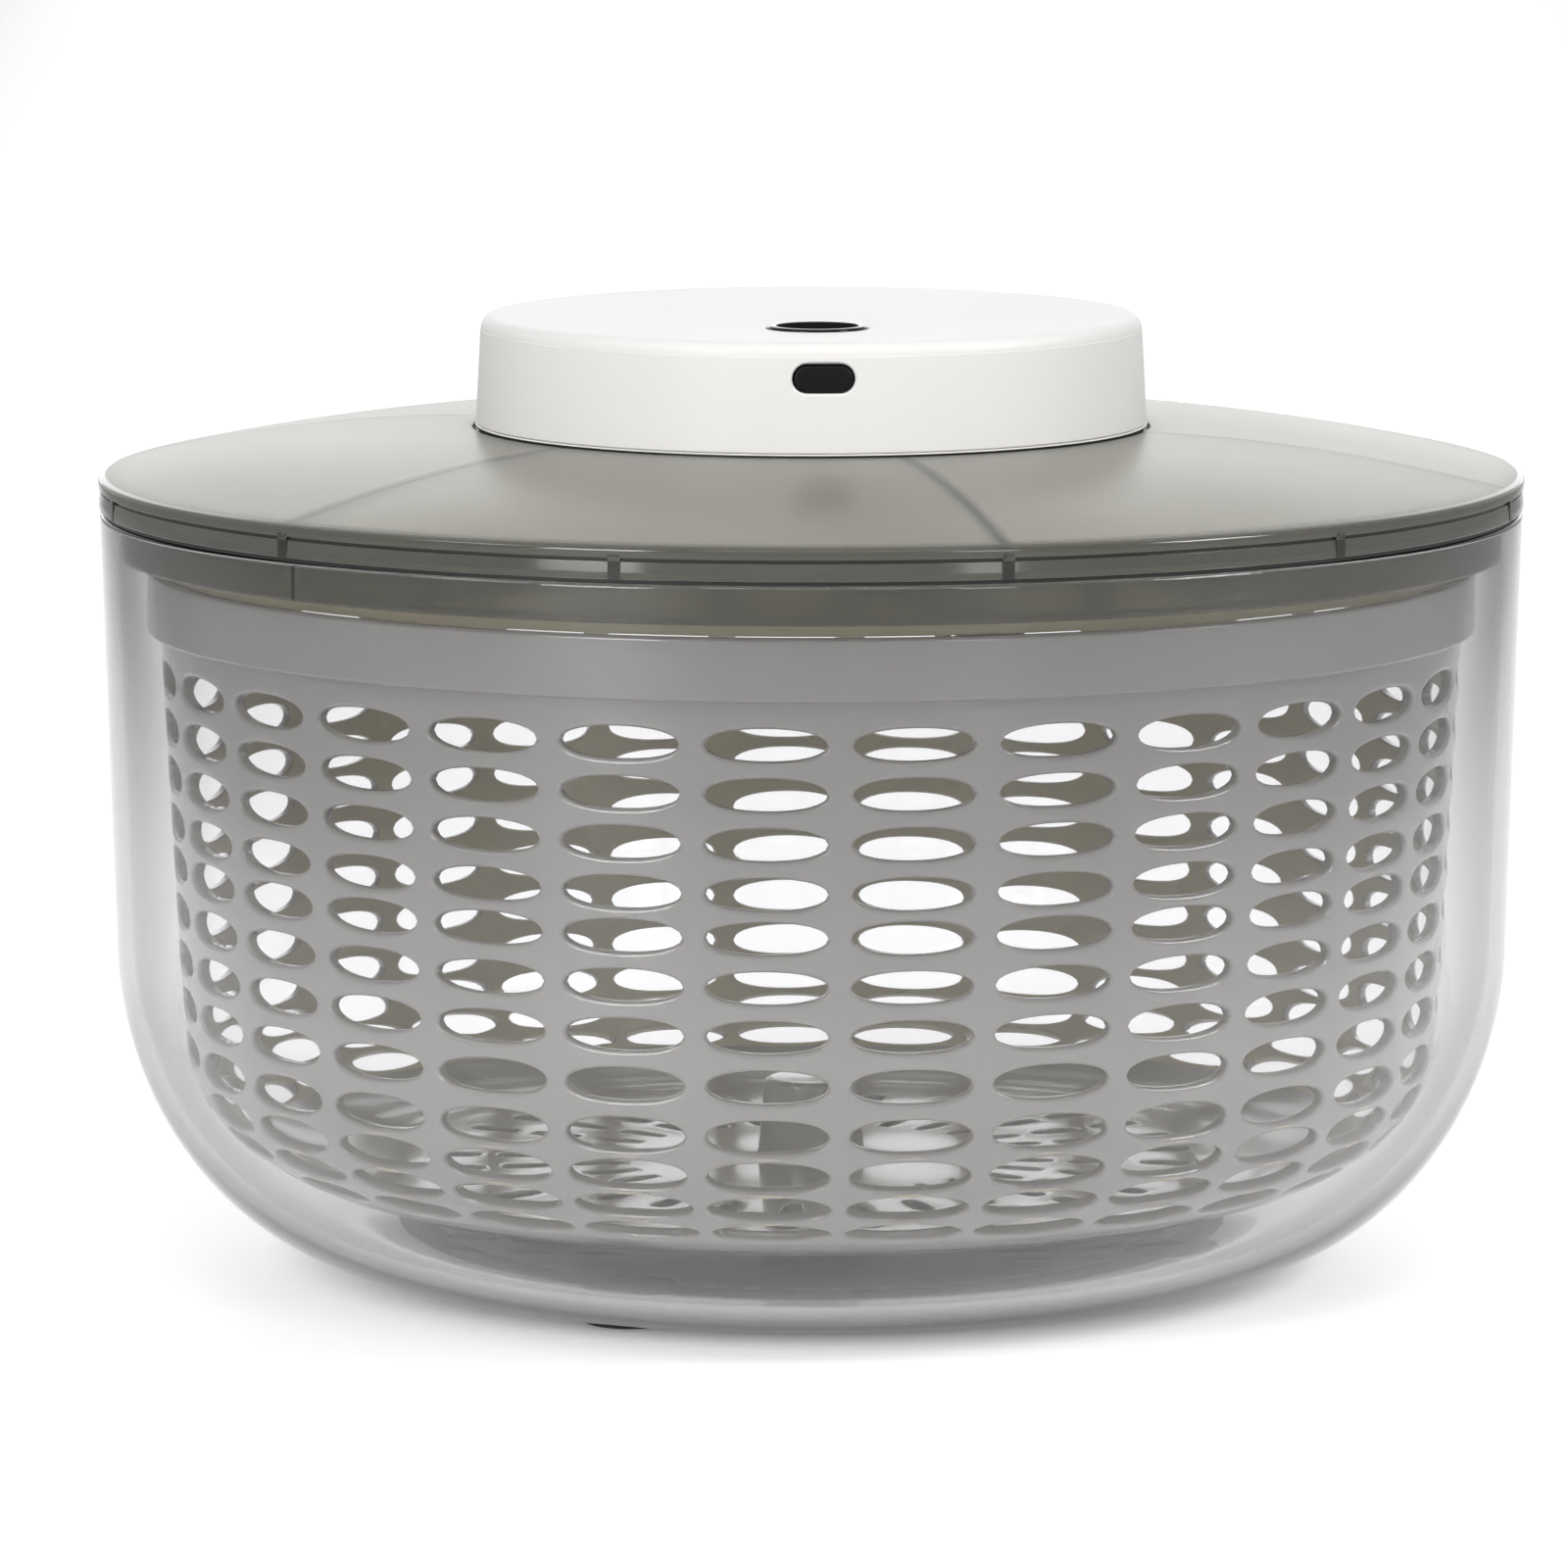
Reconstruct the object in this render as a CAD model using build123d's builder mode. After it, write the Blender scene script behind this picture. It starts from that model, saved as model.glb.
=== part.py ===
"""Rechargeable salad spinner: clear bowl, perforated basket, smoked lid and a motor unit on top.

Millimetres, +Z up. The origin is on the table, under the middle of the bowl; the front faces -Y.
"""

import os
from math import acos, asin, cos, degrees, pi, radians, sin, sqrt, tan

from build123d import *

os.makedirs("parts", exist_ok=True)

# ---------------------------------------------------------------- driving dimensions
# Bowl
lid_radius = 130.0
bowl_rim_radius = 129.7
bowl_rim_z = 139.2
bowl_wall = 3.0
bowl_base_z = 0.8
bowl_floor = 4.0
corner_top_z = 61.6
corner_top_radius = 127.4
bowl_flat_radius = 76.1

# Feet: a rubber ring with four pads, set into the underside of the bowl
foot_circle = 73.5
foot_radius = 8.8
foot_depth = 2.2
foot_turn = -26.2
ring_width = 7.0
ring_depth = 1.8

# Steel pivot in the bowl and the thrust cap that turns with neither
pin_radius = 3.0
pin_top_z = 25.6
boss_radius = 8.0
boss_top_z = 11.0
cap_radius = 5.0
cap_base_z = 13.0
running_gap = 0.05

# Basket
basket_base_z = 15.0
basket_flat_radius = 78.0
basket_corner_z = 42.0
basket_corner_radius = 115.0
basket_top_radius = 118.9
basket_band_z = 118.25
basket_rim_radius = 121.3
basket_rim_z = 129.45
basket_wall = 2.2
hub_radius = 9.0
hub_base_z = 12.0
hub_top_z = 33.0

# Basket holes: elliptical, in columns round the wall and down on to the curved corner
column_count = 29
column_turn = -93.76
hole_width = 21.3
hole_height = 5.8
wall_row_top_z = 110.4
wall_row_count = 9
row_pitch = 8.52
corner_row_tilts = (21.0, 38.0, 52.0)
floor_slot_circles = ((66.0, 4.2), (53.0, 3.6), (40.0, 2.8))
floor_slot_length = 9.5

# Lid
crest_z = 154.2
crest_radius = 61.0
brim_z = 145.8
brim_radius = 129.0
brim_round = lid_radius - brim_radius
dome_power = 1.85
lid_wall = 2.2
rim_wall = 1.4
rim_wall_base_z = 139.9
rim_wall_top_z = 143.0
skirt_radius = 126.0
skirt_wall = 2.0
skirt_base_z = 132.05
skirt_top_z = 144.3
rim_rib_turn = 15.0
rim_rib_count = 12
rim_rib_width = 2.0
dome_rib_turn = 45.0
dome_rib_count = 6
dome_rib_width = 1.6
dome_rib_depth = 2.4
vent_turn = -135.0
vent_width = 0.9
seat_radius = 61.7
seat_z = 152.95
well_radius = 48.6
well_floor_z = 141.8

# Drive carrier: hub and six-armed spider that turn the basket from above
carrier_hub_radius = 11.0
carrier_hub_base_z = 129.9
carrier_ring_radius = 119.8
carrier_ring_width = 6.3
carrier_base_z = 129.6
carrier_thickness = 2.4
arm_width = 9.0
arm_count = 6
lug_count = 3
lug_width = 10.0
lug_depth = 8.0
lug_radius = 114.5
lug_thickness = 4.0
lug_gap = 0.5
hex_flats = 12.0
hex_gap = 0.3
clip_z = 141.85
clip_thickness = 0.3
clip_groove = 0.7

# Motor unit, turned slightly on the lid
unit_turn = 2.1
unit_base_radius = 61.3
unit_base_z = 153.45
unit_base_thickness = 1.3
unit_top_radius = 60.15
unit_top_z = 174.4
unit_wall = 2.4
unit_roof = 2.2
unit_edge = 2.6
parting_gap = 0.1
drum_radius = 47.0
drum_wall = 2.0
drum_base_z = 142.8

# Gear train: motor pinion, compound idler, output gear
tooth_module = 0.8
tooth_addendum = 0.64
tooth_dedendum = 0.88
tooth_backlash = 0.16
pressure = radians(25)
pinion_teeth = 14
idler_wheel_teeth = 46
idler_pinion_teeth = 16
output_teeth = 44
lower_gear_z = 145.1
lower_gear_width = 4.0
upper_gear_z = 149.9
upper_gear_width = 3.3
gear_centres = tooth_module * (pinion_teeth + idler_wheel_teeth) / 2
shaft_radius = 3.0
idler_pin_radius = 2.0
plate_z = 154.8
plate_thickness = 1.5
plate_radius = 44.0

# Motor, cells, board, switch and socket
motor_radius = 15.0
motor_height = 14.0
motor_shaft_radius = 1.5
cell_radius = 7.0
cell_length = 49.0
cell_rows = (28.4, 43.0)
board_z = 164.8
board_thickness = 1.6
board_size = (28.0, 32.0)
board_centre = (6.0, -36.0)
button_offset = 30.0
button_radius = 8.8
button_gap = 0.3
button_edge_z = 174.3
button_crown_z = 174.9
port_z = 168.05
port_width = 11.1
port_height = 5.2
plug_width = 10.5
plug_height = 4.7

# Fasteners
screw_radius = 1.25
head_radius = 2.35
boss_circle = 53.0
post_circle = 41.0
post_turn = 20.0


# ---------------------------------------------------------------- shared geometry
def level(z):
    """Horizontal plane at height z."""
    return Plane.XY.offset(z)


def unit_level(z):
    """Horizontal plane at height z, turned with the motor unit."""
    turn = radians(unit_turn)
    return Plane(origin=(0, 0, z), x_dir=(cos(turn), sin(turn), 0), z_dir=(0, 0, 1))


def radial_plane(angle):
    """Upright plane through the axis: local x runs outwards, local y runs up."""
    turn = radians(angle)
    return Plane(origin=(0, 0, 0), x_dir=(cos(turn), sin(turn), 0), z_dir=(sin(turn), -cos(turn), 0))


def surface_plane(angle, radius, z, tilt=0.0):
    """Plane on a round wall, facing outwards and tilted down by tilt degrees."""
    turn = radians(angle)
    out = cos(radians(tilt))
    down = sin(radians(tilt))
    return Plane(
        origin=(radius * cos(turn), radius * sin(turn), z),
        x_dir=(-sin(turn), cos(turn), 0),
        z_dir=(out * cos(turn), out * sin(turn), -down),
    )


def around(count, first):
    """Evenly spaced angles, starting at first."""
    return [first + 360.0 * k / count for k in range(count)]


def dome_z(radius):
    """Height of the lid's outer surface: level at the motor unit, steeper towards the brim."""
    share = max(0.0, (radius - crest_radius) / (brim_radius - crest_radius))
    return crest_z - (crest_z - brim_z) * share**dome_power


def gear_outline(teeth, first_tooth):
    """Points of an involute gear with one tooth centred at first_tooth degrees."""
    pitch = tooth_module * teeth / 2
    base = pitch * cos(pressure)
    root = pitch - tooth_dedendum
    tip = pitch + tooth_addendum
    pitch_half = pi / (2 * teeth) - tooth_backlash / (2 * pitch)

    def half_angle(radius):
        roll = acos(min(1.0, base / radius))
        return pitch_half + (tan(pressure) - pressure) - (tan(roll) - roll)

    radii = [root, max(root, base) + 0.02, pitch, (pitch + tip) / 2, tip]
    points = []
    for k in range(teeth):
        middle = radians(first_tooth) + 2 * pi * k / teeth
        flank = [(r, half_angle(r)) for r in radii]
        for r, half in flank:
            points.append((r * cos(middle - half), r * sin(middle - half)))
        for r, half in reversed(flank):
            points.append((r * cos(middle + half), r * sin(middle + half)))
    return points


# ---------------------------------------------------------------- bowl, feet and pivot
corner_rise = corner_top_z - bowl_base_z
corner_run = corner_top_radius - bowl_flat_radius
floor_z = bowl_base_z + bowl_floor

with BuildPart() as bowl:
    with BuildSketch(Plane.XZ):
        with BuildLine():
            Line((0, bowl_base_z), (bowl_flat_radius, bowl_base_z))
            EllipticalCenterArc(
                (bowl_flat_radius, corner_top_z), corner_run, corner_rise, start_angle=-90, arc_size=90
            )
            Polyline(
                (corner_top_radius, corner_top_z),
                (bowl_rim_radius, bowl_rim_z),
                (bowl_rim_radius - bowl_wall, bowl_rim_z),
                (corner_top_radius - bowl_wall, corner_top_z),
            )
            EllipticalCenterArc(
                (bowl_flat_radius, corner_top_z),
                corner_run - bowl_wall,
                corner_top_z - floor_z,
                start_angle=-90,
                arc_size=90,
            )
            Polyline(
                (bowl_flat_radius, floor_z),
                (boss_radius + 1, floor_z),
                (boss_radius, boss_top_z),
                (0, boss_top_z),
                (0, bowl_base_z),
            )
        make_face()
    revolve(axis=Axis.Z)
    rim_edges = bowl.edges().filter_by(GeomType.CIRCLE).filter_by_position(Axis.Z, bowl_rim_z, bowl_rim_z)
    fillet(rim_edges, radius=0.8)
    with BuildSketch(level(bowl_base_z)):
        Circle(foot_circle + ring_width / 2)
        Circle(foot_circle - ring_width / 2, mode=Mode.SUBTRACT)
    extrude(amount=ring_depth, mode=Mode.SUBTRACT)
    with BuildSketch(level(bowl_base_z)):
        with PolarLocations(foot_circle, 4, start_angle=foot_turn):
            Circle(foot_radius)
    extrude(amount=foot_depth, mode=Mode.SUBTRACT)
    with BuildSketch(level(bowl_base_z + 2)):
        Circle(pin_radius)
    extrude(until=Until.LAST, mode=Mode.SUBTRACT)

with BuildPart() as foot_ring:
    with BuildSketch(level(bowl_base_z)):
        Circle(foot_circle + ring_width / 2)
        Circle(foot_circle - ring_width / 2, mode=Mode.SUBTRACT)
    extrude(amount=ring_depth)
    with BuildSketch(level(0)):
        with PolarLocations(foot_circle, 4, start_angle=foot_turn):
            Circle(foot_radius)
    extrude(amount=bowl_base_z + foot_depth)
    fillet(foot_ring.edges().group_by(Axis.Z)[0], radius=0.5)

with BuildPart() as pivot_pin:
    with BuildSketch(level(bowl_base_z + 2)):
        Circle(pin_radius)
    extrude(amount=pin_top_z - bowl_base_z - 2)
    chamfer(pivot_pin.edges().group_by(Axis.Z)[-1], length=0.8)

with BuildPart() as thrust_cap:
    with BuildSketch(level(cap_base_z)):
        Circle(cap_radius)
    extrude(amount=hub_top_z - 3.0 - running_gap - cap_base_z)
    with BuildSketch(level(cap_base_z)):
        Circle(pin_radius + running_gap)
    extrude(amount=pin_top_z + running_gap - cap_base_z, mode=Mode.SUBTRACT)
    chamfer(thrust_cap.edges().group_by(Axis.Z)[-1], length=0.6)

# ---------------------------------------------------------------- basket
basket_rise = basket_corner_z - basket_base_z
basket_run = basket_corner_radius - basket_flat_radius
basket_floor_z = basket_base_z + basket_wall
step_z = basket_band_z + 2.0


def wall_radius(z):
    """Outer radius of the basket's straight wall at height z."""
    share = (z - basket_corner_z) / (basket_band_z - basket_corner_z)
    return basket_corner_radius + share * (basket_top_radius - basket_corner_radius)


def corner_point(tilt):
    """Point of the basket's curved corner whose surface faces down by tilt degrees."""
    out = basket_run * cos(radians(tilt))
    down = basket_rise * sin(radians(tilt))
    reach = sqrt(out**2 + down**2)
    return basket_flat_radius + basket_run * out / reach, basket_corner_z - basket_rise * down / reach


wall_rows = [wall_row_top_z - row_pitch * k for k in range(wall_row_count)]
hole_planes = []
for column in around(column_count, column_turn):
    for row_z in wall_rows:
        hole_planes.append(surface_plane(column, wall_radius(row_z) + 2, row_z))
    for row_tilt in corner_row_tilts:
        corner_r, corner_z = corner_point(row_tilt)
        hole_planes.append(surface_plane(column, corner_r, corner_z, row_tilt))

rib_offset = lug_width / 2 + lug_gap + 1.0
lug_angles = around(lug_count, dome_rib_turn)

with BuildPart() as basket:
    with BuildSketch(Plane.XZ):
        with BuildLine():
            Polyline(
                (cap_radius + running_gap, hub_base_z),
                (hub_radius, hub_base_z),
                (hub_radius, basket_base_z),
                (basket_flat_radius, basket_base_z),
            )
            EllipticalCenterArc(
                (basket_flat_radius, basket_corner_z), basket_run, basket_rise, start_angle=-90, arc_size=90
            )
            Polyline(
                (basket_corner_radius, basket_corner_z),
                (basket_top_radius, basket_band_z),
                (basket_rim_radius, basket_band_z),
                (basket_rim_radius, basket_rim_z),
                (basket_rim_radius - basket_wall, basket_rim_z),
                (basket_rim_radius - basket_wall, step_z),
                (basket_top_radius - basket_wall, step_z),
                (basket_top_radius - basket_wall, basket_band_z),
                (basket_corner_radius - basket_wall, basket_corner_z),
            )
            EllipticalCenterArc(
                (basket_flat_radius, basket_corner_z),
                basket_run - basket_wall,
                basket_rise - basket_wall,
                start_angle=-90,
                arc_size=90,
            )
            Polyline(
                (basket_flat_radius, basket_floor_z),
                (hub_radius + 1, basket_floor_z),
                (hub_radius - 0.5, hub_top_z),
                (0, hub_top_z),
                (0, hub_top_z - 3.0),
                (cap_radius + running_gap, hub_top_z - 3.0),
                (cap_radius + running_gap, hub_base_z),
            )
        make_face()
    revolve(axis=Axis.Z)
    with BuildSketch(*hole_planes):
        Ellipse(hole_width / 2, hole_height / 2)
    extrude(amount=6.0, both=True, mode=Mode.SUBTRACT)
    for circle_radius, slot_width in floor_slot_circles:
        with BuildSketch(level(basket_base_z)):
            with PolarLocations(circle_radius, column_count, start_angle=column_turn):
                SlotOverall(floor_slot_length, slot_width)
        extrude(amount=basket_wall, mode=Mode.SUBTRACT)
    with BuildSketch(*[level(step_z).rotated((0, 0, a)) for a in lug_angles]):
        with Locations((lug_radius, rib_offset), (lug_radius, -rib_offset)):
            Rectangle(2 * (basket_rim_radius - basket_wall + 0.6 - lug_radius), 2.0)
    extrude(amount=basket_rim_z - step_z - 1.0)

# ---------------------------------------------------------------- lid
dome_radii = (seat_radius + 2.0, 80.0, 95.0, 108.0, 119.0, brim_radius)
under_radii = (70.0, 88.0, 104.0, 117.0, brim_radius - 2.0)
rib_radii = (70.0, 88.0, 106.0, 123.0)
seat_under_z = seat_z - lid_wall
well_under_z = well_floor_z - lid_wall

with BuildPart() as lid_cover:
    with BuildSketch(Plane.XZ):
        with BuildLine():
            Polyline(
                (carrier_hub_radius + 2.0, well_under_z),
                (carrier_hub_radius + 2.0, well_floor_z),
                (well_radius, well_floor_z),
                (well_radius, seat_z),
                (seat_radius, seat_z),
                (seat_radius, seat_z + 0.4),
            )
            edge_top = (seat_radius + 2.0, dome_z(seat_radius + 2.0))
            ThreePointArc(
                (seat_radius, seat_z + 0.4), (seat_radius + 0.45, edge_top[1] - 0.35), edge_top
            )
            Spline(*[(r, dome_z(r)) for r in dome_radii])
            CenterArc((brim_radius, brim_z - brim_round), brim_round, 0, 90)
            Polyline(
                (lid_radius, brim_z - brim_round),
                (lid_radius, rim_wall_base_z),
                (lid_radius - rim_wall, rim_wall_base_z),
                (lid_radius - rim_wall, rim_wall_top_z),
                (under_radii[-1], dome_z(under_radii[-1]) - lid_wall),
            )
            Polyline(*[(r, dome_z(r) - lid_wall) for r in under_radii])
            Polyline(
                (under_radii[0], dome_z(under_radii[0]) - lid_wall),
                (seat_radius + 1.0, seat_under_z),
                (well_radius + lid_wall, seat_under_z),
                (well_radius + lid_wall, well_under_z),
                (carrier_hub_radius + 2.0, well_under_z),
            )
        make_face()
    revolve(axis=Axis.Z)
    with BuildSketch(*[radial_plane(a) for a in around(dome_rib_count, dome_rib_turn)]):
        with BuildLine():
            top_line = Polyline(*[(r, dome_z(r) - lid_wall + 0.4) for r in rib_radii])
            low_line = Polyline(*[(r, dome_z(r) - lid_wall - dome_rib_depth) for r in rib_radii])
            Line(top_line @ 0, low_line @ 0)
            Line(top_line @ 1, low_line @ 1)
        make_face()
    extrude(amount=dome_rib_width / 2, both=True)

with BuildPart() as lid_skirt:
    with BuildSketch(Plane.XZ):
        with BuildLine():
            Polyline(
                (skirt_radius - skirt_wall, skirt_base_z),
                (skirt_radius, skirt_base_z),
                (skirt_radius, rim_wall_base_z),
                (lid_radius - rim_wall - 0.1, rim_wall_base_z),
                (lid_radius - rim_wall - 0.1, rim_wall_base_z + 0.8),
                (skirt_radius, rim_wall_base_z + 0.8),
                (skirt_radius, skirt_top_z),
                (skirt_radius - skirt_wall, skirt_top_z),
                close=True,
            )
        make_face()
    revolve(axis=Axis.Z)
    fillet(lid_skirt.edges().group_by(Axis.Z)[0], radius=0.6)
    with BuildSketch(*[radial_plane(a) for a in around(rim_rib_count, rim_rib_turn)]):
        with Locations((skirt_radius - 0.5, rim_wall_base_z + 0.4)):
            Rectangle(
                lid_radius - rim_wall - 0.1 - skirt_radius + 0.5,
                rim_wall_top_z - rim_wall_base_z - 0.5,
                align=(Align.MIN, Align.MIN),
            )
    extrude(amount=rim_rib_width / 2, both=True)
    with BuildSketch(surface_plane(vent_turn, skirt_radius - skirt_wall - 2, skirt_base_z)):
        Rectangle(vent_width, 2 * (rim_wall_base_z - skirt_base_z - 0.6))
    extrude(amount=skirt_wall + 4, mode=Mode.SUBTRACT)

with BuildPart() as lid_seal:
    with BuildSketch(level(bowl_rim_z + 0.05)):
        Circle(bowl_rim_radius - 0.3)
        Circle(bowl_rim_radius - bowl_wall + 0.1, mode=Mode.SUBTRACT)
    extrude(amount=rim_wall_base_z - bowl_rim_z - 0.05)

with BuildPart() as lid_bush:
    with BuildSketch(level(well_under_z - 1.0)):
        Circle(carrier_hub_radius + 2.0)
    extrude(amount=lid_wall + 1.0)
    with BuildSketch(level(well_under_z - 1.0)):
        Circle(carrier_hub_radius + 4.0)
    extrude(amount=1.0)
    with BuildSketch(level(well_under_z - 1.0)):
        Circle(carrier_hub_radius + running_gap)
    extrude(amount=lid_wall + 1.0, mode=Mode.SUBTRACT)

# ---------------------------------------------------------------- drive carrier
socket_flats = hex_flats + hex_gap
hub_shoulder_z = well_under_z - 1.3
hub_crown_z = clip_z + clip_thickness + 0.15

with BuildPart() as drive_hub:
    with BuildSketch(level(carrier_hub_base_z)):
        Circle(carrier_hub_radius)
    extrude(amount=hub_crown_z - carrier_hub_base_z)
    with BuildSketch(level(clip_z)):
        Circle(carrier_hub_radius)
        Circle(carrier_hub_radius - clip_groove, mode=Mode.SUBTRACT)
    extrude(amount=clip_thickness, mode=Mode.SUBTRACT)
    with BuildSketch(level(carrier_base_z + carrier_thickness)):
        Circle(carrier_hub_radius + 4.0)
    extrude(amount=hub_shoulder_z - carrier_base_z - carrier_thickness)
    with BuildSketch(unit_level(carrier_hub_base_z + 3.0)):
        RegularPolygon(socket_flats / 2, 6, major_radius=False)
    extrude(amount=hub_crown_z - carrier_hub_base_z, mode=Mode.SUBTRACT)

with BuildPart() as hub_clip:
    with BuildSketch(level(clip_z)):
        Circle(carrier_hub_radius + 1.6)
        Circle(carrier_hub_radius - clip_groove, mode=Mode.SUBTRACT)
        with Locations((carrier_hub_radius, 0)):
            Rectangle(5.0, 4.0, mode=Mode.SUBTRACT)
    extrude(amount=clip_thickness)

with BuildPart() as drive_carrier:
    with BuildSketch(level(carrier_base_z)):
        Circle(carrier_ring_radius)
        Circle(carrier_ring_radius - carrier_ring_width, mode=Mode.SUBTRACT)
        Circle(carrier_hub_radius + 10.0)
        with PolarLocations(lug_radius / 2, arm_count, start_angle=dome_rib_turn):
            Rectangle(lug_radius, arm_width)
        Circle(carrier_hub_radius, mode=Mode.SUBTRACT)
    extrude(amount=carrier_thickness)
    with BuildSketch(level(carrier_base_z)):
        with PolarLocations(lug_radius, lug_count, start_angle=dome_rib_turn):
            RectangleRounded(lug_thickness, lug_width, 1.0)
    extrude(amount=-lug_depth)

# ---------------------------------------------------------------- motor unit shells
unit_side_z = unit_base_z + unit_base_thickness + parting_gap
unit_ceiling_z = unit_top_z - unit_roof
button_level = unit_level(unit_ceiling_z - 1)
front = radians(unit_turn - 90)
front_axis = (cos(front), sin(front), 0)
port_plane = Plane(
    origin=(0, 0, port_z), x_dir=(cos(radians(unit_turn)), sin(radians(unit_turn)), 0), z_dir=front_axis
)

with BuildPart() as unit_housing:
    with BuildSketch(Plane.XZ):
        with BuildLine():
            Polyline(
                (0, unit_ceiling_z),
                (unit_top_radius - unit_wall, unit_ceiling_z),
                (unit_base_radius - 0.1 - unit_wall, unit_side_z),
                (unit_base_radius - 0.1, unit_side_z),
                (unit_top_radius, unit_top_z),
                (0, unit_top_z),
                close=True,
            )
        make_face()
    revolve(axis=Axis.Z)
    top_edge = unit_housing.edges().filter_by_position(Axis.Z, unit_top_z - 0.01, unit_top_z + 0.01)
    fillet(top_edge.sort_by(SortBy.RADIUS)[-1], radius=unit_edge)
    with BuildSketch(unit_level(unit_side_z)):
        with PolarLocations(boss_circle, 4, start_angle=45):
            Circle(3.2)
    extrude(until=Until.NEXT)
    with BuildSketch(unit_level(board_z + board_thickness)):
        with Locations((-3.5, -48.0), (16.5, -24.0)):
            Circle(2.6)
    extrude(until=Until.NEXT)
    with BuildSketch(button_level):
        with Locations((0, -button_offset)):
            Circle(button_radius + button_gap)
    extrude(amount=unit_roof + 2, mode=Mode.SUBTRACT)
    with BuildSketch(port_plane):
        SlotOverall(port_width, port_height)
    extrude(amount=unit_base_radius + 5, mode=Mode.SUBTRACT)
    with BuildSketch(unit_level(unit_side_z)):
        with PolarLocations(boss_circle, 4, start_angle=45):
            Circle(screw_radius)
    extrude(amount=9.0, mode=Mode.SUBTRACT)
    with BuildSketch(unit_level(board_z + board_thickness)):
        with Locations((-3.5, -48.0), (16.5, -24.0)):
            Circle(screw_radius)
    extrude(amount=4.0, mode=Mode.SUBTRACT)

with BuildPart() as unit_base:
    with BuildSketch(level(unit_base_z)):
        Circle(unit_base_radius)
        Circle(drum_radius - drum_wall, mode=Mode.SUBTRACT)
    extrude(amount=unit_base_thickness)
    with BuildSketch(level(unit_base_z + unit_base_thickness)):
        Circle(unit_base_radius - 0.1 - unit_wall - 0.25)
        Circle(unit_base_radius - 0.1 - unit_wall - 1.45, mode=Mode.SUBTRACT)
    extrude(amount=1.6)
    with BuildSketch(level(seat_z + 0.05)):
        Circle(56.0)
        Circle(51.0, mode=Mode.SUBTRACT)
    extrude(amount=unit_base_z - seat_z)
    with BuildSketch(level(drum_base_z)):
        Circle(drum_radius)
    extrude(amount=unit_base_z + unit_base_thickness - drum_base_z)
    with BuildSketch(level(drum_base_z + drum_wall)):
        Circle(drum_radius - drum_wall)
    extrude(amount=unit_base_z, mode=Mode.SUBTRACT)
    with BuildSketch(unit_level(drum_base_z + drum_wall)):
        with PolarLocations(post_circle, 3, start_angle=post_turn):
            Circle(3.0)
        with Locations((-gear_centres, 0)):
            Circle(3.6)
    extrude(amount=lower_gear_z - drum_base_z - drum_wall - 0.1)
    with BuildSketch(unit_level(lower_gear_z - 0.1)):
        with PolarLocations(post_circle, 3, start_angle=post_turn):
            Circle(3.0)
    extrude(amount=plate_z - lower_gear_z + 0.1)
    with BuildSketch(unit_level(plate_z - 8.0)):
        with PolarLocations(post_circle, 3, start_angle=post_turn):
            Circle(screw_radius)
    extrude(amount=8.0, mode=Mode.SUBTRACT)
    with BuildSketch(unit_level(drum_base_z + 1.0)):
        with Locations((-gear_centres, 0)):
            Circle(idler_pin_radius)
    extrude(amount=3.0, mode=Mode.SUBTRACT)
    with BuildSketch(level(drum_base_z)):
        Circle(shaft_radius + 2.0)
    extrude(amount=drum_wall, mode=Mode.SUBTRACT)
    with BuildSketch(unit_level(seat_z)):
        with PolarLocations(boss_circle, 4, start_angle=45):
            Circle(screw_radius + 0.15)
    extrude(amount=3.0, mode=Mode.SUBTRACT)
    with BuildSketch(unit_level(seat_z)):
        with PolarLocations(boss_circle, 4, start_angle=45):
            Circle(head_radius + 0.3)
    extrude(amount=unit_base_z + 0.6 - seat_z, mode=Mode.SUBTRACT)

# ---------------------------------------------------------------- gear train
idler_place = (-gear_centres, 0)
motor_place = (-gear_centres, -gear_centres)

with BuildPart() as gearbox_plate:
    with BuildSketch(unit_level(plate_z)):
        Circle(plate_radius)
        with PolarLocations(post_circle, 3, start_angle=post_turn):
            Circle(screw_radius + 0.15, mode=Mode.SUBTRACT)
        Circle(shaft_radius + 2.0, mode=Mode.SUBTRACT)
        with Locations(idler_place):
            Circle(idler_pin_radius, mode=Mode.SUBTRACT)
        with Locations(motor_place):
            Circle(4.0, mode=Mode.SUBTRACT)
    extrude(amount=plate_thickness)

with BuildPart() as idler_pin:
    with BuildSketch(unit_level(drum_base_z + 1.0)):
        with Locations(idler_place):
            Circle(idler_pin_radius)
    extrude(amount=plate_z + plate_thickness - drum_base_z - 1.0)

with BuildPart() as idler_gear:
    with BuildSketch(unit_level(lower_gear_z)):
        with Locations(idler_place):
            Polygon(*gear_outline(idler_pinion_teeth, 180.0 / idler_pinion_teeth), align=None)
    extrude(amount=upper_gear_z - lower_gear_z)
    with BuildSketch(unit_level(upper_gear_z)):
        with Locations(idler_place):
            Polygon(*gear_outline(idler_wheel_teeth, -90.0), align=None)
    extrude(amount=upper_gear_width)
    with BuildSketch(unit_level(lower_gear_z)):
        with Locations(idler_place):
            Circle(idler_pin_radius + running_gap)
    extrude(amount=upper_gear_z + upper_gear_width - lower_gear_z, mode=Mode.SUBTRACT)

with BuildPart() as output_gear:
    with BuildSketch(unit_level(lower_gear_z)):
        Polygon(*gear_outline(output_teeth, 180.0), align=None)
    extrude(amount=lower_gear_width)
    with BuildSketch(level(lower_gear_z + lower_gear_width)):
        Circle(shaft_radius + 0.9)
    extrude(amount=3.6)
    with BuildSketch(level(lower_gear_z)):
        Circle(shaft_radius)
    extrude(amount=upper_gear_z + upper_gear_width - lower_gear_z, mode=Mode.SUBTRACT)

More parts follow.
